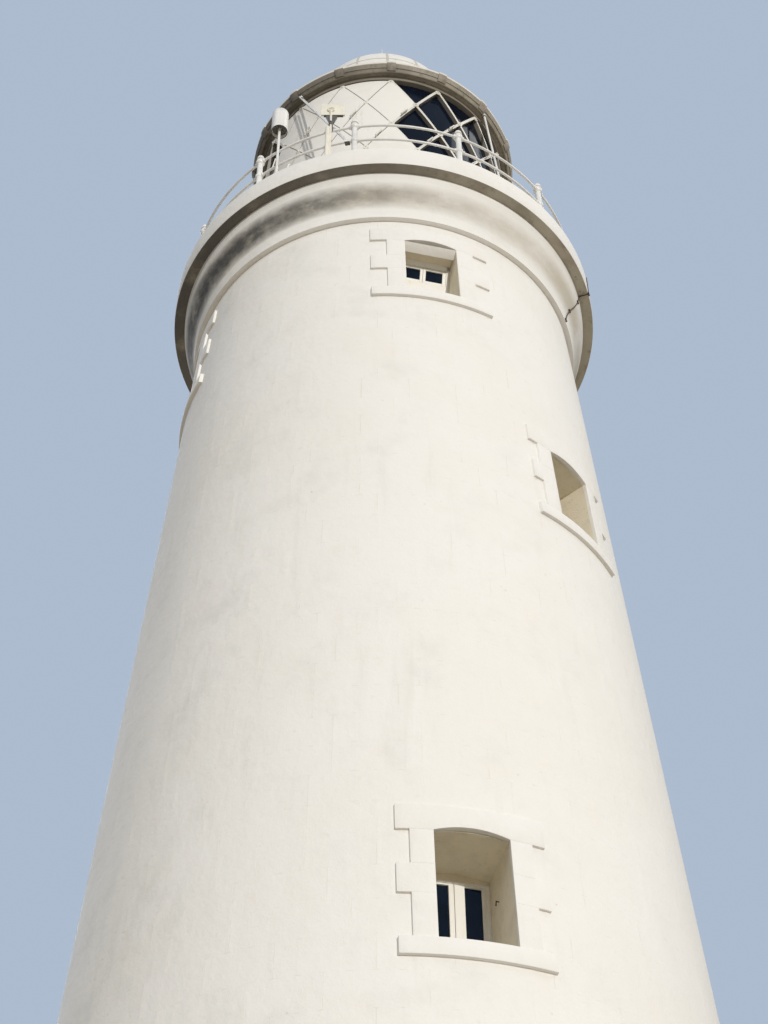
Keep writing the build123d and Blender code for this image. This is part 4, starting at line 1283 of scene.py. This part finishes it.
def roof_pieces():
    """The dome, and the ball vent whose rod runs to a point."""
    dress_node("dome_shell", "roof_dome", "roof_paint", ROOF, shade=40)
    vent = node_copy("vent_ball", "roof_vent")
    for point in vent.data.vertices:
        if point.co.z > ROD_SHOULDER:
            point.co.x *= 0.2
            point.co.y *= 0.2
    finish_piece(vent, "roof_paint", ROOF, shade=40, replaces=("roof_vent",))


# Fittings

def gallery_fittings():
    """The drum and the two hanging bars, with painted shade on their undersides."""
    for name, node, ease in (("signal_drum_shell", "signal_drum", 0.003), ("twin_bar", "hanging_bar", 0.0),
                             ("leaning_rod", "hook_rod", 0.0)):
        piece = node_copy(name, node)
        if ease:
            round_arrises(piece, ease, 60)
        second_finish(piece, lambda face: face.normal.z < -0.3)
        finish_piece(piece, "fitting_white", FITTING, SHADED_IRON, shade=45, replaces=(node,))


def twin_bar_shadow():
    """A dark bar that runs along under the twin bar, from its hook to its clamp: a painted shadow of the twin bar."""
    under = Vector((0, 0, 0.034))
    hook, clamp = at(*BAR_HOOK) - under, at(*BAR_CLAMP) - under
    shadow_strip = bar("twin_bar_shadow_strip", hook.lerp(clamp, 0.04), hook.lerp(clamp, 0.96), 0.011, 12, 0.003)
    finish_piece(shadow_strip, "fitting_white", SHADED_IRON, shade=50)


def sensor_on_mast():
    """A plate with a ring in front, turned on its mast to face a little left of the door, over a dark bracket."""
    foot_level = KERB_LEVEL - SENSOR_LEVEL
    rail_level = TOP_RAIL_LEVEL - SENSOR_LEVEL
    plate = block("plate", (-0.155, 0.020, -0.135), (0.215, 0.052, 0.190))
    edit_faces(plate, lambda face: face.normal.y < -0.9)
    bpy.ops.mesh.inset(thickness=0.012, depth=-0.003)
    leave_edit()
    round_arrises(plate, 0.003)
    front_ring = ring("ring", 0.052, 0.010, 36, 12, ORIGIN, (math.radians(90), 0, 0))
    mast = bar("mast", (0, 0, foot_level), (0, 0, -0.048), 0.018, 18, 0.002)
    sleeve = bar("sleeve", (-0.045, 0.004, foot_level), (-0.045, 0.004, rail_level + 0.05), 0.034, 24, 0.006)
    foot = bar("foot", (-0.03, 0.004, foot_level), (-0.03, 0.004, foot_level + 0.012), 0.075, 24, 0.003)
    sensor = joined("sensor_on_mast", [plate, front_ring, mast, sleeve, foot])
    shelf = round_arrises(block("shelf", (-0.115, 0.022, -0.150), (0.190, 0.060, -0.136)), 0.002)
    case = block("case", (-0.085, 0.024, -0.330), (0.100, 0.080, -0.149))
    edit_faces(case, lambda face: face.normal.z < -0.9)
    bpy.ops.transform.resize(value=(0.42, 0.7, 1))
    leave_edit()
    round_arrises(case, 0.006)
    conduit = bar("conduit", (0.030, 0.022, rail_level - 0.02), (0.022, 0.040, -0.30), 0.009, 12, 0.002)
    collars = [bar("collar", (-0.004, 0, level), (-0.004, 0, level + 0.035), 0.030, 18, 0.003)
               for level in (rail_level + 0.12, -0.42)]
    bracket = joined("sensor_bracket", [shelf, case, conduit, *collars])
    place = Matrix.Translation(at(SENSOR_AZIMUTH, FITTING_RADIUS, SENSOR_LEVEL))
    place = place @ Matrix.Rotation(math.radians(-13.0), 4, "Z")
    for piece in (sensor, bracket):
        piece.data.transform(place)
    finish_piece(sensor, "fitting_grey", CREAM_FITTING, shade=40, replaces=("sensor_box",))
    finish_piece(bracket, "fitting_grey", SHADED_IRON, shade=40)


def conductor_strip():
    """The earth strip: down the fascia, in under the soffit and down the cove, with clips."""
    under_soffit = SOFFIT_LEVEL - 0.008
    # Radius, level and how far each point has swung back from the strip's own azimuth
    route = [(GALLERY_RADIUS + 0.006, KERB_LEVEL + 0.004, 0), (GALLERY_RADIUS + 0.006, 23.60, 0),
             (GALLERY_RADIUS + 0.005, 23.424, 0), (3.30, under_soffit, 0), (COVE_LIP_RADIUS + 0.01, under_soffit, 0),
             (3.183, 23.38, 0.1), (3.163, 23.25, 0.5), (3.110, 23.10, 1.2), (3.031, 22.95, 2.4), (2.986, 22.80, 3.2),
             (2.971, 22.66, 3.8), (2.970, 22.60, 4.2)]
    clips = {2: 0, 6: 0.5, 8: 2.4, 10: 3.8}
    data = bpy.data.curves.new("conductor_strip", "CURVE")
    data.dimensions = "3D"
    data.bevel_depth = 0.009
    data.bevel_resolution = 3
    data.use_fill_caps = True
    line = data.splines.new("NURBS")
    line.points.add(len(route) - 1)
    for point, (radius, z, swing) in zip(line.points, route):
        point.co = (*at(CONDUCTOR_AZIMUTH - swing, radius, z), 1)
    line.order_u = 3
    line.use_endpoint_u = True
    pick(placed("conductor_strip", data))
    bpy.ops.object.convert(target="MESH")
    parts = [bpy.context.object]
    for k, swing in clips.items():
        clip = round_arrises(block("clip", (-0.035, -0.012, -0.012), (0.035, 0.012, 0.012)), 0.004)
        azimuth = CONDUCTOR_AZIMUTH - swing
        turned(clip, azimuth).data.transform(Matrix.Translation(at(azimuth, *route[k][:2])))
        parts.append(clip)
    finish_piece(joined("conductor_strip", parts), "fitting_grey", IRON, shade=45, replaces=("conductor",))


# Construction nodes that keep their shape

def refinish_nodes():
    walls = ["entrance_wall_a", "entrance_wall_b", "doorway_jambs", "service_wall_a", "service_wall_b", "window_jambs"]
    walls += [f"stair_wall_{k}_{part}" for k in range(1, 6) for part in "ab"]
    refinish(WALL, *walls)
    refinish(FLOOR_STONE, "ground_floor", "service_floor")
    refinish(DECK, "lantern_floor")
    refinish(LOW_WALL, "murette_a", "murette_b", "gallery_door", "lantern_curb")
    # The lantern head takes the dark lattice paint as painted shade in the gap under the gutter.
    refinish(LATTICE_SHADE, "lantern_head")
    refinish(LANTERN_GLASS, "clear_panes")
    refinish(BLANK, "blank_panes")


place_camera()
place_lights()
lay_floor()
refinish_nodes()
facing_stones()
plinth_stones()
surround_stones()
window_joinery()
head_linings()
head_infills()
reveal_linings()
window_hook()
plank_door()
gallery_edge()
railing()
lattice_bars()
blank_sheets()
lattice_bosses()
hand_grips()
low_wall_straps()
gutter_lengths()
roof_pieces()
roof_seams()
gallery_fittings()
twin_bar_shadow()
sensor_on_mast()
conductor_strip()

bpy.context.scene.view_settings.view_transform = "Standard"
